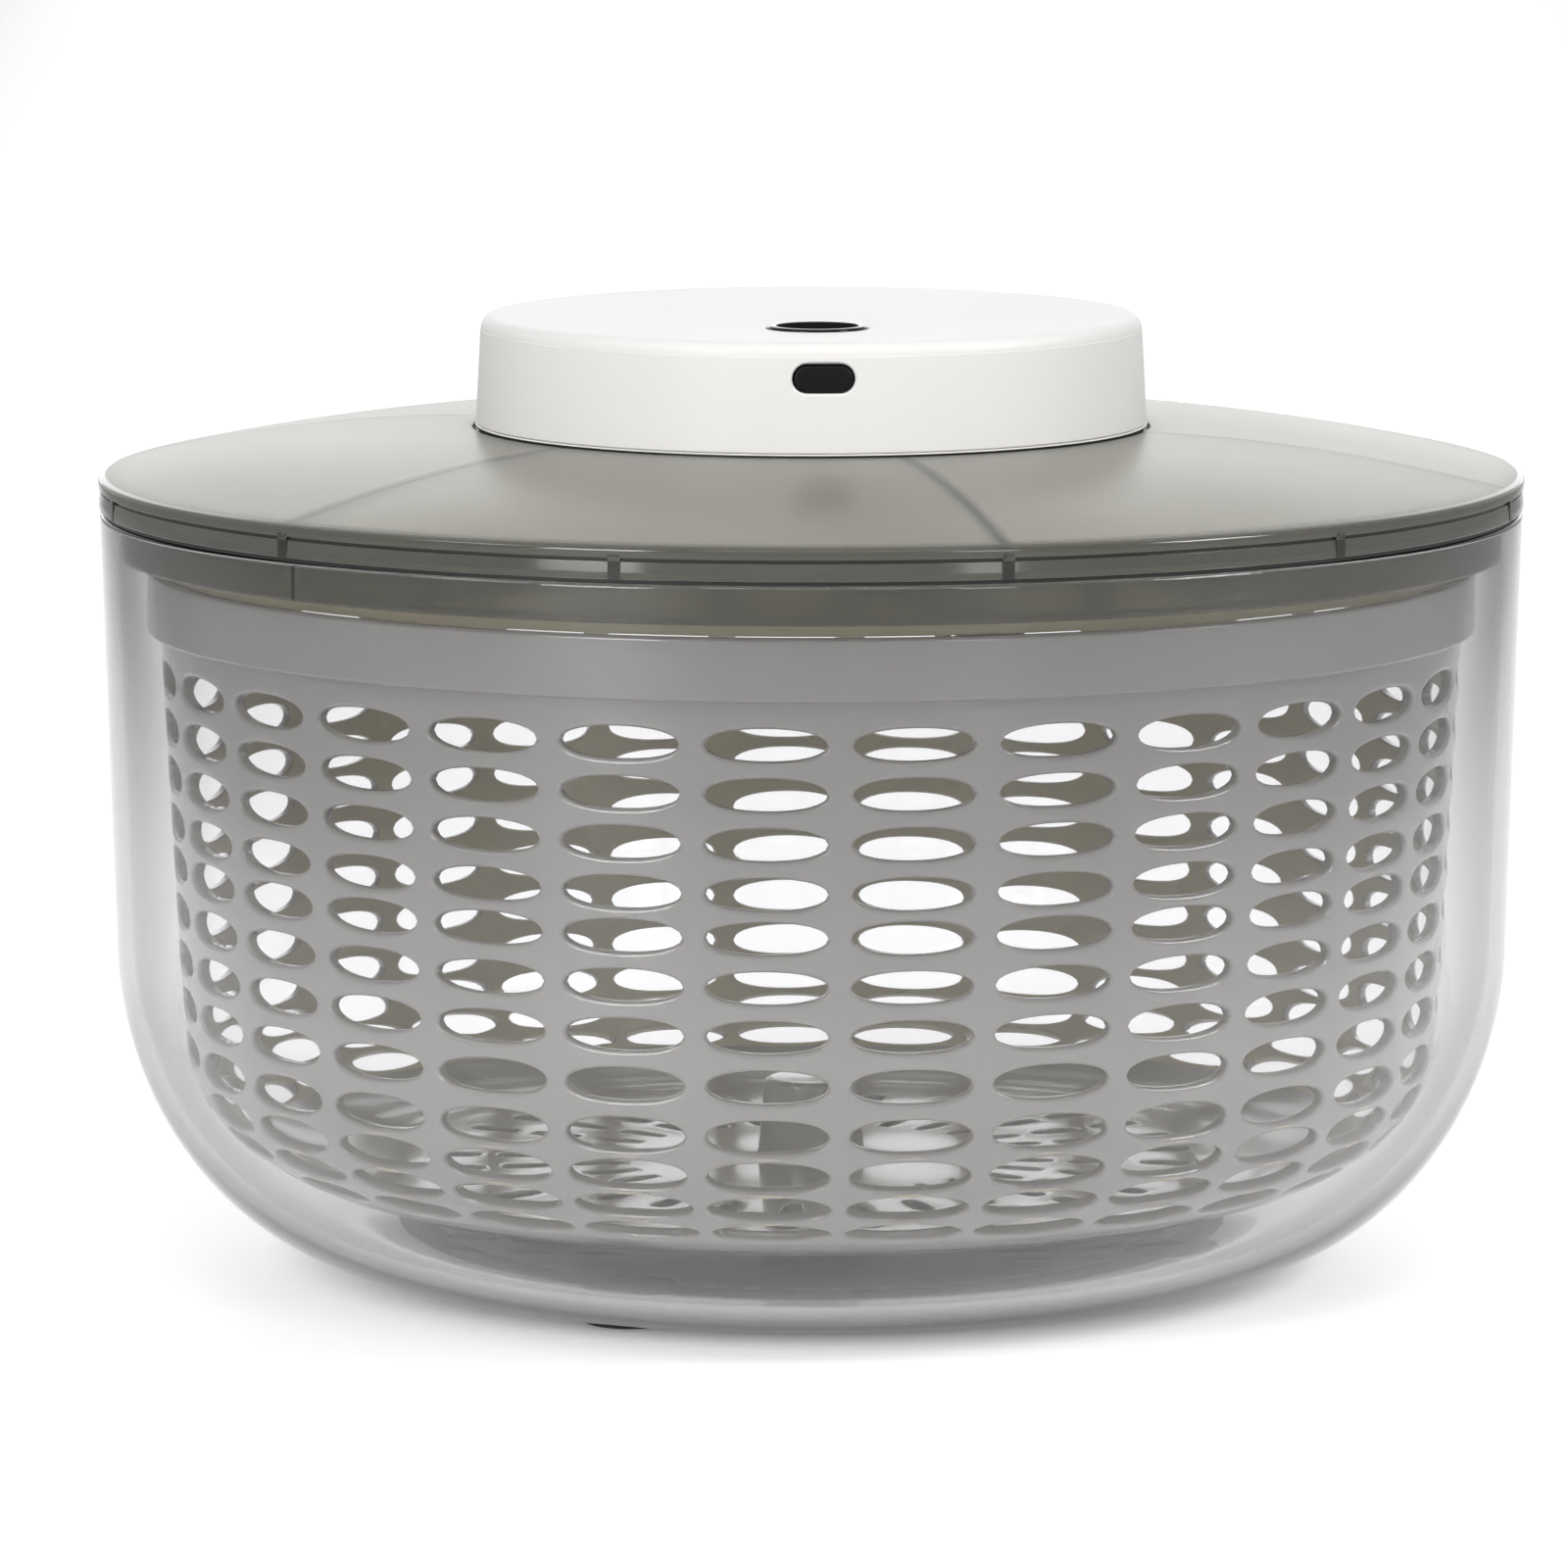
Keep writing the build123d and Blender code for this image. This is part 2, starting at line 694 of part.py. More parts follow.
with BuildPart() as output_shaft:
    with BuildSketch(level(carrier_hub_base_z + 5.3)):
        Circle(shaft_radius)
    extrude(amount=plate_z + plate_thickness - carrier_hub_base_z - 5.3)
    chamfer(output_shaft.edges().group_by(Axis.Z)[0], length=0.4)

with BuildPart() as drive_coupler:
    with BuildSketch(unit_level(carrier_hub_base_z + 5.3)):
        RegularPolygon(hex_flats / 2, 6, major_radius=False)
    extrude(amount=drum_base_z - 0.3 - carrier_hub_base_z - 5.3)
    chamfer(drive_coupler.edges().group_by(Axis.Z)[0], length=0.8)
    with BuildSketch(level(carrier_hub_base_z + 5.0)):
        Circle(shaft_radius)
    extrude(amount=drum_base_z, mode=Mode.SUBTRACT)

with BuildPart() as lower_bush:
    with BuildSketch(level(drum_base_z)):
        Circle(shaft_radius + 2.0)
        Circle(shaft_radius + running_gap, mode=Mode.SUBTRACT)
    extrude(amount=drum_wall + 0.2)

with BuildPart() as upper_bush:
    with BuildSketch(level(plate_z - 1.0)):
        Circle(shaft_radius + 2.0)
        Circle(shaft_radius + running_gap, mode=Mode.SUBTRACT)
    extrude(amount=plate_thickness + 1.0)

# ---------------------------------------------------------------- motor
motor_base_z = plate_z + plate_thickness
motor_top_z = motor_base_z + motor_height

with BuildPart() as motor_can:
    with BuildSketch(unit_level(motor_base_z)):
        with Locations(motor_place):
            Circle(motor_radius)
    extrude(amount=motor_height)
    chamfer(motor_can.edges().group_by(Axis.Z)[-1], length=1.0)
    with BuildSketch(unit_level(motor_base_z + 1.2)):
        with Locations(motor_place):
            Circle(motor_radius - 1.2)
    extrude(amount=motor_height - 2.4, mode=Mode.SUBTRACT)
    with BuildSketch(unit_level(motor_base_z)):
        with Locations(motor_place):
            Circle(motor_shaft_radius + running_gap)
    extrude(amount=motor_height, mode=Mode.SUBTRACT)

with BuildPart() as motor_rotor:
    with BuildSketch(unit_level(upper_gear_z - 0.3)):
        with Locations(motor_place):
            Circle(motor_shaft_radius)
    extrude(amount=motor_top_z - upper_gear_z + 0.3)
    with BuildSketch(unit_level(motor_base_z + 2.2)):
        with Locations(motor_place):
            Circle(motor_radius - 2.2)
    extrude(amount=motor_height - 4.4)

with BuildPart() as motor_pinion:
    with BuildSketch(unit_level(upper_gear_z)):
        with Locations(motor_place):
            Polygon(*gear_outline(pinion_teeth, 90.0 + 180.0 / pinion_teeth), align=None)
            Circle(motor_shaft_radius, mode=Mode.SUBTRACT)
    extrude(amount=upper_gear_width)

# ---------------------------------------------------------------- power, board, switch, socket
with BuildPart() as battery_cells:
    for row in cell_rows:
        cell_plane = Plane(
            origin=unit_level(plate_z + plate_thickness + cell_radius + 0.2).from_local_coords((0, row, 0)),
            x_dir=(0, 0, 1),
            z_dir=unit_level(0).x_dir,
        )
        with BuildSketch(cell_plane):
            Circle(cell_radius)
        extrude(amount=cell_length / 2, both=True)
        with BuildSketch(cell_plane):
            Circle(2.6)
        extrude(amount=cell_length / 2 + 1.0)

with BuildPart() as cell_cradle:
    with BuildSketch(unit_level(plate_z + plate_thickness)):
        with Locations((0, (cell_rows[0] + cell_rows[1]) / 2)):
            RectangleRounded(44.0, 27.0, 1.5)
    extrude(amount=cell_radius - 1.0)
    add(battery_cells.part, mode=Mode.SUBTRACT)

with BuildPart() as circuit_board:
    with BuildSketch(unit_level(board_z)):
        with Locations(board_centre):
            RectangleRounded(*board_size, 1.5)
        with Locations((-3.5, -48.0), (16.5, -24.0)):
            Circle(screw_radius + 0.15, mode=Mode.SUBTRACT)
    extrude(amount=board_thickness)
    with BuildSketch(unit_level(board_z + board_thickness)):
        with Locations((12.0, -40.0)):
            Rectangle(6.0, 6.0)
        with Locations((13.5, -31.5)):
            Rectangle(3.0, 4.5)
    extrude(amount=1.2)

switch_base_z = board_z + board_thickness
switch_height = 3.5
with BuildPart() as button_switch:
    with BuildSketch(unit_level(switch_base_z)):
        with Locations((0, -button_offset)):
            Rectangle(6.0, 6.0)
    extrude(amount=switch_height)
    with BuildSketch(unit_level(switch_base_z + switch_height)):
        with Locations((0, -button_offset)):
            Circle(1.7)
    extrude(amount=0.65)

socket_face = 57.2
plug_depth = 2.6
with BuildPart() as charge_socket:
    with BuildSketch(port_plane.offset(socket_face)):
        SlotOverall(8.94, 3.2)
    extrude(amount=-7.3)
    with BuildSketch(port_plane.offset(socket_face)):
        SlotOverall(8.34, 2.6)
    extrude(amount=-6.3, mode=Mode.SUBTRACT)
    with BuildSketch(port_plane.offset(socket_face - 6.5)):
        Rectangle(6.7, 0.7)
    extrude(amount=5.7)

with BuildPart() as port_plug:
    with BuildSketch(port_plane.offset(socket_face + 0.4)):
        SlotOverall(plug_width, plug_height)
    extrude(amount=plug_depth)
    fillet(port_plug.faces().sort_by(Axis(origin=(0, 0, 0), direction=front_axis))[-1].edges(), radius=0.3)
    with BuildSketch(port_plane.offset(socket_face + 0.4)):
        SlotOverall(7.7, 2.0)
        Rectangle(7.0, 1.1, mode=Mode.SUBTRACT)
    extrude(amount=-3.6)

button_axis_point = unit_level(0).from_local_coords((0, -button_offset, 0))
crown_reach = button_radius - 0.4
crown_rise = button_crown_z - button_edge_z
crown_radius = (crown_reach**2 + crown_rise**2) / (2 * crown_rise)
crown_angle = degrees(asin(crown_reach / crown_radius))
with BuildPart() as power_button:
    with BuildSketch(Plane(origin=button_axis_point, x_dir=(1, 0, 0), z_dir=(0, -1, 0))):
        with BuildLine():
            Polyline(
                (0, button_crown_z),
                (0, unit_ceiling_z - 1.0),
                (2.5, unit_ceiling_z - 1.0),
                (2.5, unit_ceiling_z - 0.85),
                (button_radius + 0.75, unit_ceiling_z - 0.85),
                (button_radius + 0.75, unit_ceiling_z - 0.05),
                (button_radius, unit_ceiling_z - 0.05),
                (button_radius, button_edge_z - 0.4),
                (button_radius - 0.4, button_edge_z),
            )
            CenterArc((0, button_crown_z - crown_radius), crown_radius, 90 - crown_angle, crown_angle)
        make_face()
    revolve(axis=Axis(button_axis_point, (0, 0, 1)))

# ---------------------------------------------------------------- fasteners
with BuildPart() as housing_screws:
    with BuildSketch(unit_level(unit_base_z + 0.6)):
        with PolarLocations(boss_circle, 4, start_angle=45):
            Circle(screw_radius)
    extrude(amount=9.0)
    with BuildSketch(unit_level(seat_z + 0.2)):
        with PolarLocations(boss_circle, 4, start_angle=45):
            Circle(head_radius)
            RegularPolygon(0.9, 6, mode=Mode.SUBTRACT)
    extrude(amount=unit_base_z + 0.6 - seat_z - 0.2)

with BuildPart() as plate_screws:
    with BuildSketch(unit_level(plate_z - 8.0)):
        with PolarLocations(post_circle, 3, start_angle=post_turn):
            Circle(screw_radius)
    extrude(amount=8.0 + plate_thickness)
    with BuildSketch(unit_level(plate_z + plate_thickness)):
        with PolarLocations(post_circle, 3, start_angle=post_turn):
            Circle(head_radius)
            RegularPolygon(0.9, 6, mode=Mode.SUBTRACT)
    extrude(amount=1.4)

with BuildPart() as board_screws:
    with BuildSketch(unit_level(board_z)):
        with Locations((-3.5, -48.0), (16.5, -24.0)):
            Circle(screw_radius)
    extrude(amount=board_thickness + 4.0)
    with BuildSketch(unit_level(board_z)):
        with Locations((-3.5, -48.0), (16.5, -24.0)):
            Circle(head_radius)
            RegularPolygon(0.9, 6, mode=Mode.SUBTRACT)
    extrude(amount=-1.4)

# ---------------------------------------------------------------- files
pieces = {
    "bowl": bowl,
    "foot_ring": foot_ring,
    "pivot_pin": pivot_pin,
    "thrust_cap": thrust_cap,
    "basket": basket,
    "lid_cover": lid_cover,
    "lid_skirt": lid_skirt,
    "lid_seal": lid_seal,
    "lid_bush": lid_bush,
    "drive_hub": drive_hub,
    "drive_carrier": drive_carrier,
    "hub_clip": hub_clip,
    "unit_housing": unit_housing,
    "unit_base": unit_base,
    "gearbox_plate": gearbox_plate,
    "idler_pin": idler_pin,
    "idler_gear": idler_gear,
    "output_gear": output_gear,
    "output_shaft": output_shaft,
    "drive_coupler": drive_coupler,
    "lower_bush": lower_bush,
    "upper_bush": upper_bush,
    "motor_can": motor_can,
    "motor_rotor": motor_rotor,
    "motor_pinion": motor_pinion,
    "battery_cells": battery_cells,
    "cell_cradle": cell_cradle,
    "circuit_board": circuit_board,
    "button_switch": button_switch,
    "charge_socket": charge_socket,
    "port_plug": port_plug,
    "power_button": power_button,
    "housing_screws": housing_screws,
    "plate_screws": plate_screws,
    "board_screws": board_screws,
}

for label, piece in pieces.items():
    piece.part.label = label
    export_step(piece.part, f"parts/{label}.step", write_pcurves=label != "basket")
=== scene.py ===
"""Looks for the rechargeable salad spinner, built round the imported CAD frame.

Shapes are worked out in millimetres, in the frame's axes, and turned into metres as each mesh is made.
"""

import math

import bmesh
import bpy
import numpy as np
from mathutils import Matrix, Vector


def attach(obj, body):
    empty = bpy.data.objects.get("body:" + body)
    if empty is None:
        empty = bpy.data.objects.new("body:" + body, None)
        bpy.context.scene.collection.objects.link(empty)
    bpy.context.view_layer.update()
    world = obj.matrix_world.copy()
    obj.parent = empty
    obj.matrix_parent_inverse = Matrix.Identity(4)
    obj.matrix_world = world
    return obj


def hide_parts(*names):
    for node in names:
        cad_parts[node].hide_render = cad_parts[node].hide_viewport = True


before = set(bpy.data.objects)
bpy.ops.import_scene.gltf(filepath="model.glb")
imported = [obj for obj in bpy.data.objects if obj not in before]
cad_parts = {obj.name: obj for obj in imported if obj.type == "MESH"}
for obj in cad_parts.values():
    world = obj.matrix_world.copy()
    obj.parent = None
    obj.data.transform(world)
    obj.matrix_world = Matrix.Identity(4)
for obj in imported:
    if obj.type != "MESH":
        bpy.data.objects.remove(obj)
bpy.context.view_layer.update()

MM = 0.001
ROUND = 320

# ------------------------------------------------------------------ sizes, as in the CAD
LID_R = 129.95
BOWL_RIM_R, BOWL_RIM_Z, BOWL_WALL = 129.7, 139.2, 3.0
BOWL_BASE_Z, BOWL_FLOOR_Z = 0.8, 4.8
BOWL_FLAT_R, BOWL_CORNER_R, BOWL_CORNER_Z = 76.1, 127.4, 61.6
FOOT_CIRCLE, FOOT_R, FOOT_TURN, RING_WIDTH = 73.5, 8.8, -26.2, 7.0
RING_TOP_Z, FOOT_TOP_Z, PAD_FLAT_R, PAD_BEND = 2.6, 3.0, 5.0, 1.1
BOSS_R, BOSS_TOP_Z, PIN_R, PIN_BASE_Z = 8, 11, 2.95, 2.85

BASKET_BASE_Z, BASKET_WALL = 15.0, 2.2
BASKET_FLAT_R, BASKET_CORNER_R, BASKET_CORNER_Z = 78.0, 115.0, 42.0
BASKET_TOP_R, BAND_Z = 118.9, 118.25
BASKET_RIM_R, BASKET_RIM_Z, STEP_Z = 121.3, 129.45, 120.25
HUB_R, HUB_BASE_Z, HUB_TOP_Z, CAP_R = 9.0, 12.0, 33.0, 5.05
LUG_NEAR_R, LUG_FAR_R, LUG_TOP_Z, LUG_WIDTH, LUG_OFFSET = 109.5, 119.6, 128.35, 2.0, 6.5
COLUMNS, COLUMN_TURN, ROW_PITCH = 29, -93.76, 8.52
HOLE_HALF_WIDTH, HOLE_HALF_HEIGHT = 10.65, 2.9
TOP_ROW_Z, WALL_ROWS = 110.4, 9
CORNER_TILTS = (21.0, 38.0, 52.0)
FLOOR_SLOTS = ((66.0, 2.1), (53.0, 1.8), (40.0, 1.4))

CREST_Z, CREST_R, BRIM_Z, BRIM_R = 154.2, 61.0, 145.8, 129.0
LID_WALL, RIM_WALL, RIM_BASE_Z, RIM_TOP_Z = 2.2, 1.4, 139.9, 143.0
GROOVE_Z, GROOVE_DEPTH = 143.4, 0.6
DOME_NEAR_R, DOME_FAR_R, DOME_UNDER_R = 66.0, 127.6, 127.0
SKIRT_R, SKIRT_WALL, SKIRT_BASE_Z, SKIRT_TOP_Z = 126.0, 2.0, 132.05, 144.1
FLANGE_THICK, RIM_RIB_TOP_Z, RIM_RIB_WIDTH, POST_WIDTH = 0.8, 142.9, 2.0, 2.2
SEAL_NEAR_R, SEAL_FAR_R, SEAL_BASE_Z = 126.8, 129.4, 139.25
SEAT_R, SEAT_Z, WELL_R, WELL_Z, BUSH_R = 61.7, 152.95, 48.6, 141.8, 13.0
RIB_NEAR_R, RIB_FAR_R, RIB_WIDTH, RIB_DEPTH = 66.5, 126.6, 1.6, 2.4
RIB_TURN, RIM_RIB_TURN, VENT_TURN, VENT_WIDTH = 45.0, 15.0, -135.0, 0.9
RIBS, RIM_RIBS = 6, 12

UNIT_TURN = 2.1
UNIT_R, UNIT_BASE_Z, UNIT_SIDE_Z = 61.3, 153.45, 154.85
UNIT_TOP_R, UNIT_TOP_Z, UNIT_CEILING_Z = 60.15, 174.4, 172.2
DRUM_R, DRUM_BASE_Z, RECESS_Z = 47.0, 142.8, 154.5
UNIT_LINE_Z, UNIT_LINE_DEPTH = 171.9, 0.1
BUTTON_OFFSET, BUTTON_R, BUTTON_GAP, BUTTON_DISH_R = 30.0, 8.8, 0.3, 7.1
BUTTON_BASE_Z, BUTTON_FLANGE_Z, BUTTON_TOP_Z = 171.2, 172.1, 174.86
POCKET_FLOOR_Z, POCKET_EDGE = 168.0, 0.5
PORT_Z, PORT_FACE, PORT_WIDTH, PORT_HEIGHT = 168.05, 60.2, 11.1, 5.2
PLUG_WIDTH, PLUG_HEIGHT, PLUG_FACE, PLUG_EDGE = 10.5, 4.7, 59.8, 0.5


# ------------------------------------------------------------------ mesh helpers
def rounded(corners, closed=True, steps=5):
    """Path through corners (x, y) or (x, y, rounding)."""
    path = []
    last = len(corners) - 1
    for k, corner in enumerate(corners):
        here = np.array(corner[:2], float)
        if len(corner) < 3 or (not closed and k in (0, last)):
            path.append(here)
            continue
        back = np.array(corners[k - 1][:2]) - here
        ahead = np.array(corners[(k + 1) % len(corners)][:2]) - here
        back /= np.linalg.norm(back)
        ahead /= np.linalg.norm(ahead)
        half = math.acos(max(-1.0, min(1.0, float(back @ ahead)))) / 2
        middle = back + ahead
        centre = here + middle / np.linalg.norm(middle) * corner[2] / math.sin(half)
        first = here + back * corner[2] / math.tan(half) - centre
        final = here + ahead * corner[2] / math.tan(half) - centre
        start = math.atan2(first[1], first[0])
        sweep = (math.atan2(final[1], final[0]) - start + math.pi) % (2 * math.pi) - math.pi
        for share in np.linspace(0, 1, steps + 1):
            angle = start + sweep * share
            path.append(centre + corner[2] * np.array((math.cos(angle), math.sin(angle))))
    return path


def bend(centre_r, centre_z, run, rise, steps, first=-90.0, last=0.0):
    """Points of an upright ellipse from first to last degrees."""
    return [
        (centre_r + run * math.cos(a), centre_z + rise * math.sin(a))
        for a in np.radians(np.linspace(first, last, steps + 1))
    ]


def lathe(profile, segments=ROUND, closed=True, turn=0.0, centre=(0.0, 0.0)):
    """Points and faces of a profile turned round an upright axis."""
    angles = np.radians(turn) + 2 * np.pi * np.arange(segments) / segments
    points, rings = [], []
    for radius, height in profile:
        start = len(points)
        if radius < 1e-6:
            points.append((centre[0], centre[1], height))
            rings.append([start] * segments)
            continue
        for a in angles:
            points.append((centre[0] + radius * math.cos(a), centre[1] + radius * math.sin(a), height))
        rings.append(list(range(start, start + segments)))
    faces = []
    pairs = list(zip(rings, rings[1:])) + ([(rings[-1], rings[0])] if closed else [])
    for low, high in pairs:
        for k in range(segments):
            n = (k + 1) % segments
            face = list(dict.fromkeys((low[k], low[n], high[n], high[k])))
            if len(face) > 2:
                faces.append(face)
    return points, faces


def loft(rings):
    """Closed body through rings that have the same number of points."""
    count = len(rings[0])
    points = [tuple(p) for ring in rings for p in ring]
    faces = []
    for k in range(len(rings) - 1):
        for i in range(count):
            n = (i + 1) % count
            faces.append((k * count + i, k * count + n, (k + 1) * count + n, (k + 1) * count + i))
    faces.append(tuple(range(count)))
    faces.append(tuple(range((len(rings) - 1) * count, len(rings) * count)))
    return points, faces


def block(angle, near, far, width, low, high, edge=0.0):
    """Upright radial slab. low and high are heights, or functions of the radius."""
    turn = math.radians(angle)
    out = np.array((math.cos(turn), math.sin(turn), 0.0))
    side = np.array((-math.sin(turn), math.cos(turn), 0.0))
    up = np.array((0.0, 0.0, 1.0))
    rings = []
    for radius in np.linspace(near, far, 9):
        base = low(radius) if callable(low) else low
        top = high(radius) if callable(high) else high
        half = width / 2
        ring = [(-half, base + edge), (-half + edge, base), (half - edge, base), (half, base + edge)]
        ring += [(half, top), (-half, top)]
        rings.append([out * radius + side * x + up * z for x, z in ring])
    return loft(rings)


def gather(*parts):
    """One list of points and faces out of several."""
    points, faces = [], []
    for more_points, more_faces in parts:
        start = len(points)
        points += [tuple(p) for p in more_points]
        faces += [tuple(i + start for i in face) for face in more_faces]
    return points, faces


def raw_object(name, shape, weld=0.0):
    """Mesh object in metres with its normals facing out."""
    points, faces = shape
    mesh = bpy.data.meshes.new(name)
    mesh.from_pydata((np.array(points, float) * MM).tolist(), [], [list(f) for f in faces])
    work = bmesh.new()
    work.from_mesh(mesh)
    if weld:
        bmesh.ops.remove_doubles(work, verts=work.verts, dist=weld)
    bmesh.ops.recalc_face_normals(work, faces=work.faces)
    work.to_mesh(mesh)
    work.free()
    obj = bpy.data.objects.new(name, mesh)
    bpy.context.scene.collection.objects.link(obj)
    return obj


def merge(obj, shape, operation):
    """Joins a second body to obj, or cuts it away."""
    tool = raw_object("tool", shape)
    change = obj.modifiers.new("change", "BOOLEAN")
    change.operation = operation
    change.solver = "EXACT"
    change.object = tool
    bpy.context.view_layer.update()
    view = obj.evaluated_get(bpy.context.evaluated_depsgraph_get())
    mesh = bpy.data.meshes.new_from_object(view)
    obj.modifiers.clear()
    obj.data = mesh
    bpy.data.objects.remove(tool)


def piece(obj, body, materials, nodes, paint=None, sharp=38.0):
    """Finishes a piece: smooth shading, materials, body and the CAD nodes it stands for."""
    mesh = obj.data
    mesh.name = obj.name
    mesh.materials.clear()
    for material in materials:
        mesh.materials.append(material)
    mesh.polygons.foreach_set("use_smooth", [True] * len(mesh.polygons))
    mesh.set_sharp_from_angle(angle=math.radians(sharp))
    for polygon in mesh.polygons:
        polygon.material_index = paint(polygon.center / MM, polygon.normal) if paint else 0
    weighted = obj.modifiers.new("normals", "WEIGHTED_NORMAL")
    weighted.keep_sharp = True
    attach(obj, body)
    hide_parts(*nodes)
    return obj


# ------------------------------------------------------------------ materials
def fade(tree, value, low, high, at_low, at_high):
    """Smooth step of a value from one level to another."""
    step = tree.nodes.new("ShaderNodeMapRange")
    step.interpolation_type = "SMOOTHSTEP"
    for socket, number in zip(("From Min", "From Max", "To Min", "To Max"), (low, high, at_low, at_high)):
        step.inputs[socket].default_value = number
    tree.links.new(value, step.inputs["Value"])
    return step.outputs["Result"]


def combine(tree, operation, first, second=None):
    """Math node on one or two values, where the second may be a number."""
    step = tree.nodes.new("ShaderNodeMath")
    step.operation = operation
    tree.links.new(first, step.inputs[0])
    if isinstance(second, (int, float)):
        step.inputs[1].default_value = second
    elif second is not None:
        tree.links.new(second, step.inputs[1])
    return step.outputs["Value"]


def split(tree, output):
    """The three parts of a place or direction."""
    axes = tree.nodes.new("ShaderNodeSeparateXYZ")
    tree.links.new(output, axes.inputs["Vector"])
    return axes.outputs["X"], axes.outputs["Y"], axes.outputs["Z"]


def distance(tree, output):
    """How far a place is from the origin."""
    reach = tree.nodes.new("ShaderNodeVectorMath")
    reach.operation = "LENGTH"
    tree.links.new(output, reach.inputs[0])
    return reach.outputs["Value"]


def object_place(tree):
    """Place on the object, in its own axes."""
    return tree.nodes.new("ShaderNodeTexCoord").outputs["Object"]


def surface(
    name, colour, roughness, spread=0.04, vary=0.04, cloud=14.0, grain=1400.0, depth=0.006, **sockets
):
    """Moulded plastic, rubber or metal: clouded colour and gloss with a fine grain (depth in mm)."""
    made = bpy.data.materials.new(name)
    made.use_nodes = True
    nodes, links = made.node_tree.nodes, made.node_tree.links
    shader = nodes["Principled BSDF"]
    place = object_place(made.node_tree)

    soft = nodes.new("ShaderNodeTexNoise")
    soft.inputs["Scale"].default_value = cloud
    soft.inputs["Detail"].default_value = 4.0
    links.new(place, soft.inputs["Vector"])

    gloss = nodes.new("ShaderNodeMapRange")
    gloss.inputs["From Min"].default_value = 0.3
    gloss.inputs["From Max"].default_value = 0.7
    gloss.inputs["To Min"].default_value = max(0.0, roughness - spread)
    gloss.inputs["To Max"].default_value = roughness + spread
    links.new(soft.outputs["Fac"], gloss.inputs["Value"])
    links.new(gloss.outputs["Result"], shader.inputs["Roughness"])

    tint = nodes.new("ShaderNodeMix")
    tint.data_type = "RGBA"
    tint.inputs["A"].default_value = [c * (1 - vary) for c in colour] + [1.0]
    tint.inputs["B"].default_value = [min(1.0, c * (1 + vary)) for c in colour] + [1.0]
    links.new(soft.outputs["Fac"], tint.inputs["Factor"])
    links.new(tint.outputs["Result"], shader.inputs["Base Color"])

    if depth:
        fine = nodes.new("ShaderNodeTexNoise")
        fine.inputs["Scale"].default_value = grain
        fine.inputs["Detail"].default_value = 2.0
        links.new(place, fine.inputs["Vector"])
        bump = nodes.new("ShaderNodeBump")
        bump.inputs["Strength"].default_value = 0.5
        bump.inputs["Distance"].default_value = depth * MM
        links.new(fine.outputs["Fac"], bump.inputs["Height"])
        links.new(bump.outputs["Normal"], shader.inputs["Normal"])
    for socket, value in sockets.items():
        shader.inputs[socket.replace("_", " ")].default_value = value
    return made


def absorb(made, colour, density):
    """Tints what is seen through the thickness of a clear material."""
    tree = made.node_tree
    body = tree.nodes.new("ShaderNodeVolumeAbsorption")
    body.inputs["Color"].default_value = (*colour, 1.0)
    body.inputs["Density"].default_value = density
    tree.links.new(body.outputs["Volume"], tree.nodes["Material Output"].inputs["Volume"])


def darken(made, colour, amount):
    """Multiplies a material's base colour by colour, as far as amount says."""
    tree = made.node_tree
    deepen = tree.nodes.new("ShaderNodeMix")
    deepen.data_type = "RGBA"
    deepen.blend_type = "MULTIPLY"
    deepen.inputs["B"].default_value = (*colour, 1.0)
    base = tree.nodes["Principled BSDF"].inputs["Base Color"]
    tree.links.new(base.links[0].from_socket, deepen.inputs["A"])
    tree.links.new(amount, deepen.inputs["Factor"])
    tree.links.new(deepen.outputs["Result"], base)


def shallow_angle_shade(made, colour, near, far):
    """Painted shade: darkens the colour of clear plastic where it is met at a shallow angle, standing in for
    dark surroundings seen in it.
    """
    facing = made.node_tree.nodes.new("ShaderNodeLayerWeight")
    facing.inputs["Blend"].default_value = 0.5
    darken(made, colour, fade(made.node_tree, facing.outputs["Facing"], near, far, 0.0, 1.0))


def painted_rib_shade(made, colour, count, turn, near, far):
    """Painted shade: darkens a lid over its evenly spaced ribs, near to far metres from the ribs' middles,
    standing in for the ribs' shade seen through the wall.
    """
    tree = made.node_tree
    place = object_place(tree)
    across, along, _ = split(tree, place)
    flat = tree.nodes.new("ShaderNodeVectorMath")
    flat.operation = "MULTIPLY"
    flat.inputs[1].default_value = (1.0, 1.0, 0.0)
    tree.links.new(place, flat.inputs[0])
    radius = distance(tree, flat.outputs["Vector"])
    step = 2 * math.pi / count
    angle = combine(tree, "ARCTAN2", along, across)
    angle = combine(tree, "ADD", angle, 4 * math.pi + step / 2 - math.radians(turn))
    angle = combine(tree, "MODULO", angle, step)
    angle = combine(tree, "SUBTRACT", angle, step / 2)
    offset = combine(tree, "MULTIPLY", combine(tree, "SINE", angle), radius)
    offset = combine(tree, "ABSOLUTE", offset)
    darken(made, colour, fade(tree, offset, near, far, 1.0, 0.0))


SMOKE = {"spread": 0.02, "vary": 0.02, "depth": 0}

clear = surface(
    "clear_bowl", (0.99, 0.99, 0.995), 0.015, 0.008, 0.004, depth=0, IOR=1.5, Transmission_Weight=1.0
)
absorb(clear, (0.55, 0.54, 0.56), 52.0)
# Painted shade: the bowl's colour darkens where it is met at a shallow angle.
shallow_angle_shade(clear, (0.24, 0.24, 0.25), 0.45, 0.92)
frosted = surface(
    "smoke_frosted",
    (0.60, 0.575, 0.48),
    0.31,
    0.02,
    0.02,
    grain=3200.0,
    depth=0.006,
    IOR=1.54,
    Transmission_Weight=0.85,
)
